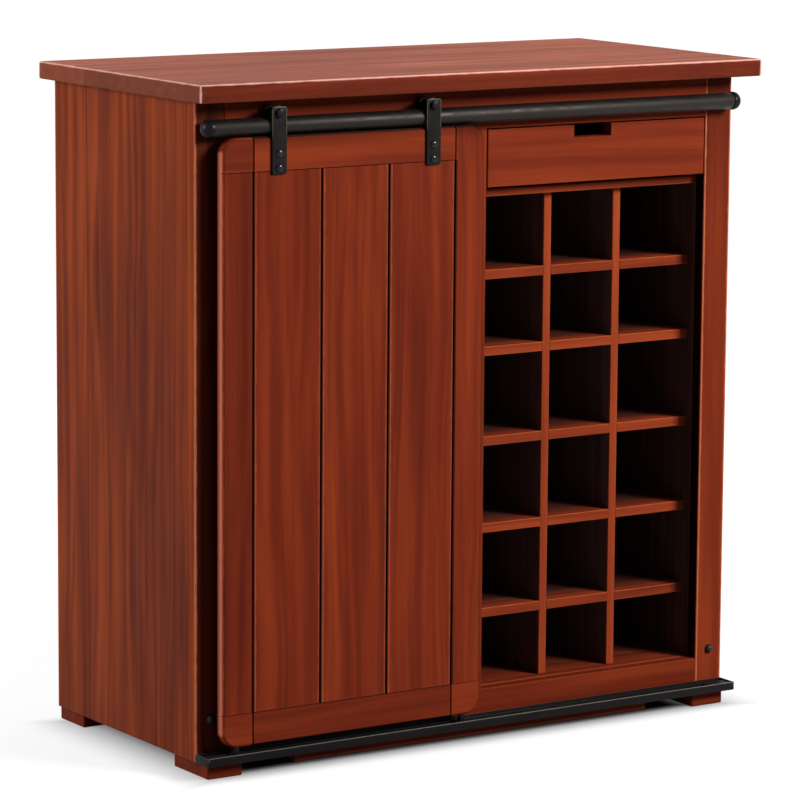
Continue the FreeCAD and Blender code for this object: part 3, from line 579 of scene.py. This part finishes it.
BRIGHT_STEEL = HardFinish("bright_steel", (188, 186, 182), (150, 148, 144), 0.3, metallic=1.0)
# Painted shade: the slab's front face is darkened, so that it reads darker than the lit top.
SLAB_FRONT_PAINTED_SHADE = FaceStain(Y, LOW, (205, 150, 112))
SLAB_SEAM = FaceStain(Y, HIGH, (120, 104, 100), strength=0.8)
FRONT_END = FaceStain(X, LOW, (107, 53, 37), "MIX", 0.75)
REAR_END = FaceStain(X, LOW, (123, 62, 43), "MIX", 0.75)
# Painted shadow of the door on the left stile's front face and its chamfers.
STILE_FRONT_PAINTED_SHADOW = FaceStain(Y, LOW, (166, 164, 180), reach=2.0 * MM)
# Painted shade on the right stile's inner face, where it lines the rack's opening.
STILE_INSIDE_PAINTED_SHADE = FaceStain(X, LOW, (70, 62, 72))
# Painted shade: the right stile darkens over its top 330 mm, towards the slab.
STILE_HEAD_PAINTED_SHADE = FaceStain(Z, HIGH, (184, 180, 210), reach=330.0 * MM)
# Painted highlight: a pale pink on the door's left edge face.
DOOR_EDGE_PAINTED_HIGHLIGHT = FaceStain(X, LOW, (200, 110, 86), "MIX", 0.85, 1.2 * MM)
# Painted shade: each door board darkens over its rear 10 mm, towards its back face.
DOOR_BACK_PAINTED_SHADE = FaceStain(Y, HIGH, (66, 54, 60), reach=10.0 * MM)
# Painted shadow of the rail: the door's top 20 mm darkens.
DOOR_HEAD_PAINTED_SHADOW = FaceStain(Z, HIGH, (190, 186, 196), reach=20.0 * MM)
# Painted shade: a dark line beside each plank seam widens the seam's shade.
PLANK_LINE_PAINTED_SHADE = FaceStain(X, HIGH, (38, 24, 24), "MIX", reach=3.4 * MM)


def joined_box(nodes: tuple[str, ...]) -> Box:
    """Give the box round several nodes.

    Args:
        nodes: names in the frame.

    Returns:
        Its lowest and highest corners.
    """
    boxes = [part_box(node) for node in nodes]
    low = Vector(min(box[0][axis] for box in boxes) for axis in range(3))
    high = Vector(max(box[1][axis] for box in boxes) for axis in range(3))
    return low, high


def opened(box: Box, right: float = 0.0) -> Box:
    """Move a box's floor, and its right side if told, away, so that no arris there takes the
    painted highlight.
    """
    return box[0] - Vector((0, 0, 1)), box[1] + Vector((right, 0, 0))


def spaced(low: float, high: float, count: int) -> list[float]:
    """Give evenly spaced values from low to high."""
    return [low + (high - low) * step / (count - 1) for step in range(count)]


WELD_DISTANCE = 1e-6
FLAT_ANGLE = 0.01
SOFTENED_DEGREES = 35.0
ROUNDING_STEPS = 2
SMOOTH_DEGREES = 32.0
DOME_DEGREES = 50.0
DOME_RIM = 0.2


@dataclass
class Workshop:
    """What every sub-assembly needs to dress its pieces."""

    shared: SharedEffects
    hard: dict[str, Material] = field(default_factory=dict)
    count: int = 0

    def board(self, node: str, finish: WoodFinish, cut: Cut) -> None:
        """Dress one board of the frame.

        Args:
            node: the board's name in the frame.
            finish: its finish.
            cut: how it is cut and stained.
        """
        self.count += 1
        dress(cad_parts[node], finish.material(node, cut, self.count, self.shared))
        LOG.info("board %s: %s", node, finish.name)

    def finish(self, hard: HardFinish) -> Material:
        """Give the material of a hard finish, built at its first use.

        Args:
            hard: the finish.

        Returns:
            The one material of that finish.
        """
        if hard.name not in self.hard:
            self.hard[hard.name] = hard.material(self.shared)
        return self.hard[hard.name]

    def fitting(self, node: str, hard: HardFinish) -> None:
        """Dress one metal or plastic node of the frame."""
        dress(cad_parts[node], self.finish(hard))
        LOG.info("fitting %s: %s", node, hard.name)

    def softened(self, node: str, body: str, slot: str, hard: HardFinish, width: float,
                 worn: bool = False) -> None:
        """Stand a copy with rounded edges in for a node of the frame.

        Args:
            node: the node that it stands for.
            body: the body that it rides on.
            slot: its material slot in the record; not used.
            hard: its finish.
            width: the width of the rounding.
            worn: whether its upper arrises take wear and a painted highlight.
        """
        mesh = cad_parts[node].data.copy()
        form = bmesh.new()
        form.from_mesh(mesh)
        bmesh.ops.remove_doubles(form, verts=form.verts, dist=WELD_DISTANCE)
        bmesh.ops.dissolve_limit(form, angle_limit=FLAT_ANGLE, verts=form.verts, edges=form.edges)
        form.to_mesh(mesh)
        form.free()
        made = hard.material(self.shared, node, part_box(node)) if worn else self.finish(hard)
        piece = new_piece(node + "_rounded", mesh, made)
        round_edges(piece, width, SOFTENED_DEGREES)
        place_piece(piece, body, node)


def new_piece(name: str, mesh: Mesh, material: Material) -> Object:
    """Link a mesh into the scene with one material.

    Args:
        name: the piece's name.
        mesh: its mesh.
        material: its finish.

    Returns:
        The new piece.
    """
    mesh.name = name
    piece = bpy.data.objects.new(name, mesh)
    SCENE.collection.objects.link(piece)
    dress(piece, material)
    return piece


def bake_modifiers(piece: Object) -> None:
    """Turn a piece's modifiers into plain mesh.

    Args:
        piece: the piece.
    """
    graph = bpy.context.evaluated_depsgraph_get()
    made = bpy.data.meshes.new_from_object(piece.evaluated_get(graph))
    piece.modifiers.clear()
    piece.data = made


def round_edges(piece: Object, width: float, degrees: float) -> None:
    """Round a piece's edges that are sharper than an angle.

    Args:
        piece: the piece.
        width: the width of the rounding.
        degrees: the angle between the faces.
    """
    rounding = piece.modifiers.new("rounding", "BEVEL")
    rounding.width = width
    rounding.segments = ROUNDING_STEPS
    rounding.limit_method = "ANGLE"
    rounding.angle_limit = math.radians(degrees)
    bake_modifiers(piece)
    smooth_by_angle(piece.data)


def smooth_by_angle(mesh: Mesh, degrees: float = SMOOTH_DEGREES) -> None:
    """Shade a mesh smooth, apart from edges sharper than an angle."""
    mesh.shade_smooth()
    mesh.set_sharp_from_angle(angle=math.radians(degrees))


def place_piece(piece: Object, body: str, node: str | None = None) -> None:
    """Tie a piece to its body and slot.

    Args:
        piece: the piece.
        body: the body that it rides on.
        node: the frame's node that it stands for, if any.
    """
    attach(piece, body)
    if node:
        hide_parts(node)
    LOG.info("piece %s on %s", piece.name, body)


class DomedHeads:
    """Domed heads, set out on points by Geometry Nodes."""

    def __init__(self) -> None:
        """Build the tree: a cylinder is drawn up into a dome and set on each point."""
        kinds = {"Points": "Geometry", "Radius": "Float", "Height": "Float", "Facing": "Float",
                 "Sides": "Int", "Rings": "Int", "Finish": "Material"}
        graph, put, out = node_group("domed_heads", "Geometry", kinds, {"Heads": "Geometry"})
        head = graph.add("GeometryNodeMeshCylinder", {
            "Vertices": put["Sides"], "Side Segments": 1, "Fill Segments": put["Rings"],
            "Radius": put["Radius"], "Depth": put["Height"]}).outputs[0]
        spot = graph.axes(graph.add("GeometryNodeInputPosition").outputs[0])
        squares = [graph.maths("POWER", value, 2.0) for value in (spot[X], spot[Y], put["Radius"])]
        share = graph.maths("DIVIDE", graph.maths("ADD", squares[0], squares[1]), squares[2])
        arch = graph.maths("SQRT", graph.maths("MAXIMUM", graph.maths("SUBTRACT", 1.0, share), 0.0))
        rise = graph.maths("ADD", graph.maths("MULTIPLY", arch, 1.0 - DOME_RIM), DOME_RIM)
        half = graph.maths("MULTIPLY", put["Height"], 0.5)
        crown = graph.maths("SUBTRACT", graph.maths("MULTIPLY", put["Height"], rise), half)
        shape = graph.add("GeometryNodeSetPosition", {
            "Geometry": head, "Selection": graph.maths("GREATER_THAN", spot[Z], 0.0),
            "Position": graph.joined(spot[X], spot[Y], crown)}).outputs[0]
        seat = graph.joined(y=graph.maths("MULTIPLY", half, put["Facing"]))
        turn = graph.joined(graph.maths("MULTIPLY", put["Facing"], -QUARTER_TURN))
        for kind, entry, inputs in (
                ("Transform", "Geometry", {"Translation": seat, "Rotation": turn}),
                ("InstanceOnPoints", "Instance", {"Points": put["Points"]}),
                ("RealizeInstances", "Geometry", {}), ("SetShadeSmooth", "Geometry", {}),
                ("SetMaterial", "Geometry", {"Material": put["Finish"]})):
            shape = graph.add("GeometryNode" + kind, {entry: shape, **inputs}).outputs[0]
        graph.give(out, "Heads", shape)
        self.tree = graph.tree

    def make(self, name: str, points: list[Vector], radius: float, height: float,
             material: Material, facing: float = -1.0, sides: int = 32, rings: int = 6) -> Object:
        """Make one piece of heads that stand out along Y.

        Args:
            name: the piece's name.
            points: where each head is seated.
            radius: the head's radius.
            height: how far it stands out.
            material: its finish.
            facing: -1 towards the front, 1 towards the back.
            sides: steps round a head.
            rings: steps from its rim to its crown.

        Returns:
            The piece, as a plain mesh.
        """
        mesh = bpy.data.meshes.new(name)
        mesh.from_pydata([tuple(point) for point in points], [], [])
        piece = new_piece(name, mesh, material)
        maker = piece.modifiers.new("heads", "NODES")
        maker.node_group = self.tree
        values = {"Radius": radius, "Height": height, "Facing": facing, "Sides": sides,
                  "Rings": rings, "Finish": material}
        for item in self.tree.interface.items_tree:
            if item.in_out == "INPUT" and item.name in values:
                maker[item.identifier] = values[item.name]
        bake_modifiers(piece)
        piece.data.name = name
        dress(piece, material)
        smooth_by_angle(piece.data, DOME_DEGREES)
        return piece


def turned_mesh(profile: list[Pair], seat: Vector, outward: Vector, segments: int) -> Mesh:
    """Turn a profile about an axis.

    Args:
        profile: distance along the axis and radius, from pole to pole.
        seat: the axis's start.
        outward: the axis's direction.
        segments: steps round the axis.

    Returns:
        A closed mesh.
    """
    side = Vector((0, 0, 1))
    other = outward.cross(side)
    turns = [2 * math.pi * step / segments for step in range(segments)]
    spokes = [side * math.cos(turn) + other * math.sin(turn) for turn in turns]
    shape = bmesh.new()
    rings = []
    for along, radius in profile:
        middle = seat + outward * along
        if radius == 0:
            rings.append([shape.verts.new(middle)] * segments)
        else:
            rings.append([shape.verts.new(middle + spoke * radius) for spoke in spokes])
    for ring, beyond in zip(rings, rings[1:]):
        for step in range(segments):
            after = (step + 1) % segments
            corners = [ring[step], ring[after], beyond[after], beyond[step]]
            shape.faces.new(list(dict.fromkeys(corners)))
    bmesh.ops.recalc_face_normals(shape, faces=shape.faces)
    mesh = bpy.data.meshes.new("turned")
    shape.to_mesh(mesh)
    shape.free()
    return mesh


@dataclass
class Carcass:
    """The fixed case: top, sides, face frame, panels and feet."""

    work: Workshop
    heads: DomedHeads
    rear_shift: float = 0.04
    stile_shift: float = 0.06
    foot_shift: float = -0.15
    panel_shift: float = -0.1
    # The bottom panel darkens towards the back: painted shade.
    panel_fade: float = 0.12
    screw_radius: float = 3.4 * MM
    screw_height: float = 1.4 * MM
    screw_margin: float = 11.0 * MM
    screw_sides: int = 16
    screw_rings: int = 3
    screws_up: int = 7
    screws_across: int = 5

    def build(self) -> None:
        """Dress every board of the case and fix its back."""
        board = self.work.board
        slab = opened(joined_box(("top_front_board", "top_rear_board")))
        stains = (SLAB_FRONT_PAINTED_SHADE, FRONT_END, SLAB_SEAM)
        board("top_front_board", TOP_WOOD, Cut(Grain.ALONG_X, whole=slab, stains=stains))
        board("top_rear_board", TOP_WOOD, Cut(Grain.ALONG_X, whole=slab, stains=(REAR_END,)))
        self.wall("left", SIDE_WOOD, (STILE_FRONT_PAINTED_SHADOW,), 1.0)
        self.wall("right", CASE_WOOD, (STILE_INSIDE_PAINTED_SHADE, STILE_HEAD_PAINTED_SHADE), 0.0)
        board("centre_stile", CASE_WOOD, Cut(Grain.ALONG_Z))
        for node, shift in (("top_rail", 0.0), ("bottom_rail", -0.05), ("plinth_strip", -0.2)):
            board(node, CASE_WOOD, Cut(Grain.ALONG_X, shift))
        board("bottom_panel", RACK_WOOD, Cut(Grain.ALONG_X, self.panel_shift, self.panel_fade))
        for node in ("back_panel", "centre_partition", "rack_liner"):
            board(node, INNER_WOOD, Cut(Grain.ALONG_Z))
        for node in ("inner_shelf", "shelf_cleats", "kicker_rail"):
            board(node, INNER_WOOD, Cut(Grain.ALONG_X))
        self.back_screws()

    def wall(self, side: str, wood: WoodFinish, stains: tuple[FaceStain, ...], away: float) -> None:
        """Dress one side of the case with its stile and its feet.

        Args:
            side: left or right.
            wood: the stile's finish.
            stains: the stile's faces that take the stain otherwise.
            away: how far its right side is moved away, so that its rim there takes no painted
                highlight.
        """
        board = self.work.board
        parts = ("_side_front_board", "_side_rear_board", "_stile")
        front, rear, stile = (side + part for part in parts)
        panel = opened(joined_box((front, rear, stile)), away)
        board(front, SIDE_WOOD, Cut(Grain.ALONG_Z, whole=panel))
        board(rear, SIDE_WOOD, Cut(Grain.ALONG_Z, self.rear_shift, whole=panel))
        board(stile, wood, Cut(Grain.ALONG_Z, self.stile_shift, whole=panel, stains=stains))
        for end in ("front", "rear"):
            board(side + "_" + end + "_foot", CASE_WOOD, Cut(Grain.ALONG_X, self.foot_shift))

    def back_screws(self) -> None:
        """Set a row of screw heads along each edge of the back panel."""
        low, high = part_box("back_panel")
        margin = self.screw_margin
        columns = spaced(low.x + margin, high.x - margin, self.screws_across)
        levels = spaced(low.z + margin, high.z - margin, self.screws_up)
        seats = [Vector((x, high.y, z)) for x in (columns[0], columns[-1]) for z in levels]
        seats += [Vector((x, high.y, z)) for z in (levels[0], levels[-1]) for x in columns[1:-1]]
        steel = self.work.finish(BRIGHT_STEEL)
        piece = self.heads.make("back_panel_screws", seats, self.screw_radius, self.screw_height,
                                steel, 1.0, self.screw_sides, self.screw_rings)
        place_piece(piece, "cabinet")


@dataclass
class BottleRack:
    """The egg-crate rack and the board over it."""

    work: Workshop
    rows: int = 5
    # Shelves and uprights darken behind their fronts: painted shade in the cells.
    shelf_fade: float = 56.0 * MM
    upright_fade: float = 7.0 * MM
    upright_shift: float = 0.2

    def build(self) -> None:
        """Dress the shelves and the uprights."""
        shelves = ["rack_shelf_" + str(row) for row in range(1, self.rows + 1)]
        for node in ("dust_board", *shelves):
            self.work.board(node, RACK_WOOD, Cut(Grain.ALONG_X, fade=self.shelf_fade))
        cut = Cut(Grain.ALONG_Z, self.upright_shift, self.upright_fade)
        for side in ("left", "right"):
            self.work.board("rack_divider_" + side, UPRIGHT_WOOD, cut)


@dataclass
class SlidingDoor:
    """The plank door with its straps, bolts, axles, wheels and guides."""

    work: Workshop
    heads: DomedHeads
    bolt_radius: float = 5.5 * MM
    bolt_height: float = 3.0 * MM
    strap_width: float = 22.0 * MM
    strap_round: float = 2.5 * MM
    strap_steps: int = 5
    strap_degrees: float = 40.0
    round_profile: float = 0.5
    hardware_ease: float = 0.5 * MM
    wheel_ease: float = 0.6 * MM
    half_line: float = 1.1 * MM
    tongue: float = 5.0 * MM
    # Depth over which the door boards' sides in the grooves go over to painted shade.
    line_fade: float = 1.5 * MM

    def show_face(self, node: str) -> Box:
        """Give the box of an upright board without its tongue and its share of the open lines."""
        low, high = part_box(node)
        return (low + Vector((self.half_line, 0, 0)),
                high - Vector((self.half_line + self.tongue, 0, 0)))

    def build(self) -> None:
        """Dress the boards and make the hardware."""
        self.leaf()
        self.bolts()
        self.straps()
        softened = self.work.softened
        softened("hanger_axles", "door", "black_metal", BLACK_METAL, self.hardware_ease)
        self.work.fitting("guide_pins", BLACK_METAL)
        for side in ("left", "right"):
            wheel = side + "_wheel"
            softened(wheel, wheel, "black_metal", BLACK_METAL, self.wheel_ease)
            self.work.fitting(side + "_guide_roller", BLACK_PLASTIC)

    def leaf(self) -> None:
        """Dress the door's boards, each a little lighter or darker than the next."""
        uprights = {"door_left_stile": -0.03, "door_plank_1": 0.02, "door_plank_2": 0.05,
                    "door_plank_3": 0.05, "door_right_stile": 0.08}
        across = {"door_corner_blocks": 0.04, "door_top_rail": 0.3, "door_bottom_rail": -0.06}
        outer = ("door_left_stile", "door_corner_blocks")
        headed = ("door_top_rail", "door_right_stile")
        whole = joined_box((*uprights, *across))
        for node, shift in (*uprights.items(), *across.items()):
            wood, grain, face = DOOR_RAIL_WOOD, Grain.ALONG_X, None
            if node in uprights:
                wood, grain = DOOR_WOOD, Grain.ALONG_Z
            # The outer boards take the painted highlight on their left edge; every door board takes
            # painted shade at its back.
            stains = (DOOR_EDGE_PAINTED_HIGHLIGHT, DOOR_BACK_PAINTED_SHADE) if node in outer else (DOOR_BACK_PAINTED_SHADE,)
            # The top rail and the right stile take the rail's painted shadow.
            if node in headed:
                stains += (DOOR_HEAD_PAINTED_SHADOW,)
            # The planks take the painted shade that widens each seam.
            if "plank" in node:
                wood, face = PLANK_WOOD, self.show_face(node)
                stains += (PLANK_LINE_PAINTED_SHADE,)
            # Painted shade on the board sides inside the grooves, but not on the outer boards.
            fade = 0.0 if node in outer else self.line_fade
            self.work.board(node, wood, Cut(grain, shift, fade, whole, stains, face))

    def bolts(self) -> None:
        """Set a domed bolt head at each seat on the straps."""
        low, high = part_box("strap_bolts")
        seats = [Vector((x, low.y + self.bolt_height, z))
                 for x in (low.x + self.bolt_radius, high.x - self.bolt_radius)
                 for z in (low.z + self.bolt_radius, high.z - self.bolt_radius)]
        piece = self.heads.make("strap_bolt_heads", seats, self.bolt_radius, self.bolt_height,
                                self.work.finish(BOLT_METAL))
        place_piece(piece, "door", "strap_bolts")

    def straps(self) -> None:
        """Cut both straps with rounded corners and eased edges."""
        low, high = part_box("hanger_straps")
        size = Vector((self.strap_width, high.y - low.y, high.z - low.z))
        for name, x in (("left_hanger_strap", low.x),
                        ("right_hanger_strap", high.x - self.strap_width)):
            start = Vector((x, low.y, low.z))
            shape = bmesh.new()
            bmesh.ops.create_cube(shape, size=1.0, matrix=Matrix.Translation(start + size / 2)
                                  @ Matrix.Diagonal((*size, 1.0)))
            corners = [edge for edge in shape.edges if edge.verts[0].co.y != edge.verts[1].co.y]
            bmesh.ops.bevel(shape, geom=corners, offset=self.strap_round, affect="EDGES",
                            segments=self.strap_steps, profile=self.round_profile)
            mesh = bpy.data.meshes.new(name)
            shape.to_mesh(mesh)
            shape.free()
            # Each strap's upper arrises take wear and a painted highlight.
            made = BLACK_METAL.material(self.work.shared, name, (start, start + size))
            piece = new_piece(name, mesh, made)
            round_edges(piece, self.hardware_ease, self.strap_degrees)
            place_piece(piece, "door", "hanger_straps")


@dataclass
class RailAndTrack:
    """The hanging rail with its caps and posts, the floor track and the stile buttons."""

    work: Workshop
    heads: DomedHeads
    segments: int = 48
    collar: float = 4.0 * MM
    cap_ease: float = 1.4 * MM
    ease_steps: int = 4
    dome_steps: int = 12
    rail_ease: float = 0.3 * MM
    track_ease: float = 0.5 * MM

    def build(self) -> None:
        """Dress and make the hardware of the face."""
        softened = self.work.softened
        softened("hanging_rail", "cabinet", "black_metal", RAIL_METAL, self.rail_ease)
        self.work.fitting("rail_standoffs", BLACK_METAL)
        # The track and its caps take wear and a painted highlight on their upper arrises.
        softened("floor_track", "cabinet", "black_metal", TRACK_METAL, self.track_ease, True)
        softened("track_end_caps", "cabinet", "black_plastic", BLACK_PLASTIC, self.rail_ease, True)
        self.caps()
        self.buttons()

    def caps(self) -> None:
        """Turn both end caps: an eased collar and a domed end."""
        low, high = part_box("rail_end_caps")
        tube_low, tube_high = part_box("hanging_rail")
        rim = (high.z - low.z) / 2
        length = high.x - tube_high.x
        middle = (tube_low + tube_high) / 2
        profile = [(0.0, 0.0)]
        for step in range(self.ease_steps + 1):
            angle = QUARTER_TURN * step / self.ease_steps
            profile.append((self.cap_ease * (1 - math.cos(angle)),
                            rim - self.cap_ease * (1 - math.sin(angle))))
        for step in range(self.dome_steps + 1):
            angle = QUARTER_TURN * step / self.dome_steps
            radius = rim * math.cos(angle) if step < self.dome_steps else 0.0
            profile.append((self.collar + (length - self.collar) * math.sin(angle), radius))
        for name, x, way in (("left_rail_cap", tube_low.x, -1.0),
                             ("right_rail_cap", tube_high.x, 1.0)):
            seat = Vector((x, middle.y, middle.z))
            mesh = turned_mesh(profile, seat, Vector((way, 0, 0)), self.segments)
            piece = new_piece(name, mesh, self.work.finish(BLACK_METAL))
            smooth_by_angle(piece.data, DOME_DEGREES)
            place_piece(piece, "cabinet", "rail_end_caps")

    def buttons(self) -> None:
        """Set the domed button on each outer stile."""
        low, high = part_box("stile_bumpers")
        radius = (high.z - low.z) / 2
        level = (low.z + high.z) / 2
        seats = [Vector((x, high.y, level)) for x in (low.x + radius, high.x - radius)]
        piece = self.heads.make("stile_buttons", seats, radius, high.y - low.y,
                                self.work.finish(BLACK_RUBBER))
        place_piece(piece, "cabinet", "stile_bumpers")


@dataclass
class Drawer:
    """The inset drawer and its turning stop."""

    work: Workshop

    def build(self) -> None:
        """Dress the drawer's boards and its stop."""
        self.work.board("drawer_front", DRAWER_WOOD, Cut(Grain.ALONG_X))
        for node in ("drawer_left_side", "drawer_right_side", "drawer_bottom"):
            self.work.board(node, INNER_WOOD, Cut(Grain.ALONG_Y))
        self.work.board("drawer_back", INNER_WOOD, Cut(Grain.ALONG_X))
        self.work.board("drawer_stop_button", INNER_WOOD, Cut(Grain.ALONG_Z))
        self.work.fitting("stop_button_screw", BRIGHT_STEEL)


@dataclass(frozen=True)
class Lamp:
    """A square soft lamp, with its power in watts."""

    name: str
    place: Triple
    size: float
    power: float

    def hang(self, aim: Vector) -> None:
        """Hang the lamp.

        Args:
            aim: what it points at.
        """
        data = bpy.data.lights.new(self.name, "AREA")
        data.size = self.size
        data.energy = self.power
        lamp = bpy.data.objects.new(self.name, data)
        lamp.location = self.place
        lamp.rotation_euler = (aim - Vector(self.place)).to_track_quat("-Z", "Y").to_euler()
        SCENE.collection.objects.link(lamp)


LAMPS = (Lamp("key_light", (1.85, -3.05, 2.35), 1.1, 204.0),
         Lamp("side_light", (-3.2, 0.7, 1.6), 1.6, 83.0),
         Lamp("top_light", (0.3, 0.4, 3.4), 1.8, 56.0))


@dataclass
class Studio:
    """The floor, the lights and the camera."""

    focal_px: float = 4168.077
    image_px: float = 800.0
    sensor_mm: float = 36.0
    yaw: float = math.radians(33.05)
    pitch: float = math.radians(9.253)
    roll: float = math.radians(0.408)
    place: Triple = (-3.10748, -4.77155, 1.37077)
    farthest: float = 100.0
    aim: Triple = (0.0, 0.0, 0.45)
    ambient: float = 0.05
    floor_reach: float = 12.0
    floor_grey: float = 0.24
    floor_roughness: float = 0.9
    glow_range: Pair = (0.6, 1.6)
    glow_near: float = 0.8
    # The footprint over which the floor's glow stops: painted shade under the cabinet.
    half_width: float = 431.0 * MM
    half_depth: float = 200.0 * MM
    under_range: Pair = (0.8, 1.15)

    def build(self) -> None:
        """Set up the whole studio."""
        SCENE.view_settings.view_transform = "Standard"
        self.floor()
        self.world()
        for lamp in LAMPS:
            lamp.hang(Vector(self.aim))
        self.camera()

    def floor(self) -> None:
        """Lay a pale floor that reads as white to the camera and keeps the shadow; its glow is
        lower near the cabinet and stops under it, which paints shade under the cabinet.
        """
        reach = self.floor_reach
        corners = [(-reach, -reach, 0), (reach, -reach, 0), (reach, reach, 0), (-reach, reach, 0)]
        mesh = bpy.data.meshes.new("studio_floor")
        mesh.from_pydata(corners, [], [(0, 1, 2, 3)])
        skin = Skin("pale_floor")
        grey = (self.floor_grey, self.floor_grey, self.floor_grey, 1.0)
        for entry, value in (("Base Color", grey), ("Roughness", self.floor_roughness),
                             ("Specular IOR Level", 0.0)):
            skin.give(skin.shader, entry, value)
        away = skin.add("ShaderNodeVectorMath", {0: skin.place}, operation="LENGTH")
        open_floor = skin.ranged(away.outputs["Value"], *self.glow_range, self.glow_near, 1.0)
        spot = skin.axes(skin.place)
        across = skin.maths("DIVIDE", skin.maths("ABSOLUTE", spot[X]), self.half_width)
        along = skin.maths("DIVIDE", skin.maths("ABSOLUTE", spot[Y]), self.half_depth)
        # Painted shade: no glow over the cabinet's footprint, so the floor stays dark under it.
        clear_of = skin.ranged(skin.maths("MAXIMUM", across, along), *self.under_range)
        level = skin.maths("MULTIPLY", open_floor, clear_of)
        matt = skin.shader.outputs[0]
        glow = skin.add("ShaderNodeEmission", {"Color": WHITE, "Strength": level}).outputs[0]
        clear = skin.add("ShaderNodeAddShader", {0: matt, 1: glow}).outputs[0]
        skin.show(matt, clear, "Material Output")
        ground = new_piece("studio_floor", mesh, skin.made)

    def world(self) -> None:
        """Light the scene a little from all round, against white."""
        sky = bpy.data.worlds.new("studio_world")
        sky.use_nodes = True
        SCENE.world = sky
        graph = Graph(sky.node_tree)
        base = graph.tree.nodes["Background"]
        graph.give(base, "Color", WHITE)
        graph.give(base, "Strength", self.ambient)
        white = graph.add("ShaderNodeBackground", {"Color": WHITE, "Strength": 1.0})
        graph.show(base.outputs[0], white.outputs[0], "World Output")

    def camera(self) -> None:
        """Stand the camera where the photograph was taken from."""
        turn = (Matrix.Rotation(-self.yaw, 4, "Z")
                @ Matrix.Rotation(QUARTER_TURN - self.pitch, 4, "X")
                @ Matrix.Rotation(self.roll, 4, "Z"))
        data = bpy.data.cameras.new("photo_camera")
        data.sensor_width = self.sensor_mm
        data.lens = self.sensor_mm * self.focal_px / self.image_px
        data.clip_end = self.farthest
        camera = bpy.data.objects.new("photo_camera", data)
        camera.matrix_world = Matrix.Translation(self.place) @ turn
        SCENE.collection.objects.link(camera)
        SCENE.camera = camera


def main() -> None:
    """Build each sub-assembly in order."""
    logging.basicConfig(level=logging.INFO, format="%(name)s: %(message)s")
    work = Workshop(SharedEffects())
    heads = DomedHeads()
    for part in (Carcass(work, heads), BottleRack(work), SlidingDoor(work, heads),
                 RailAndTrack(work, heads), Drawer(work)):
        part.build()
        LOG.info("finished %s", type(part).__name__)
    Studio().build()


if __name__ == "__main__":
    main()
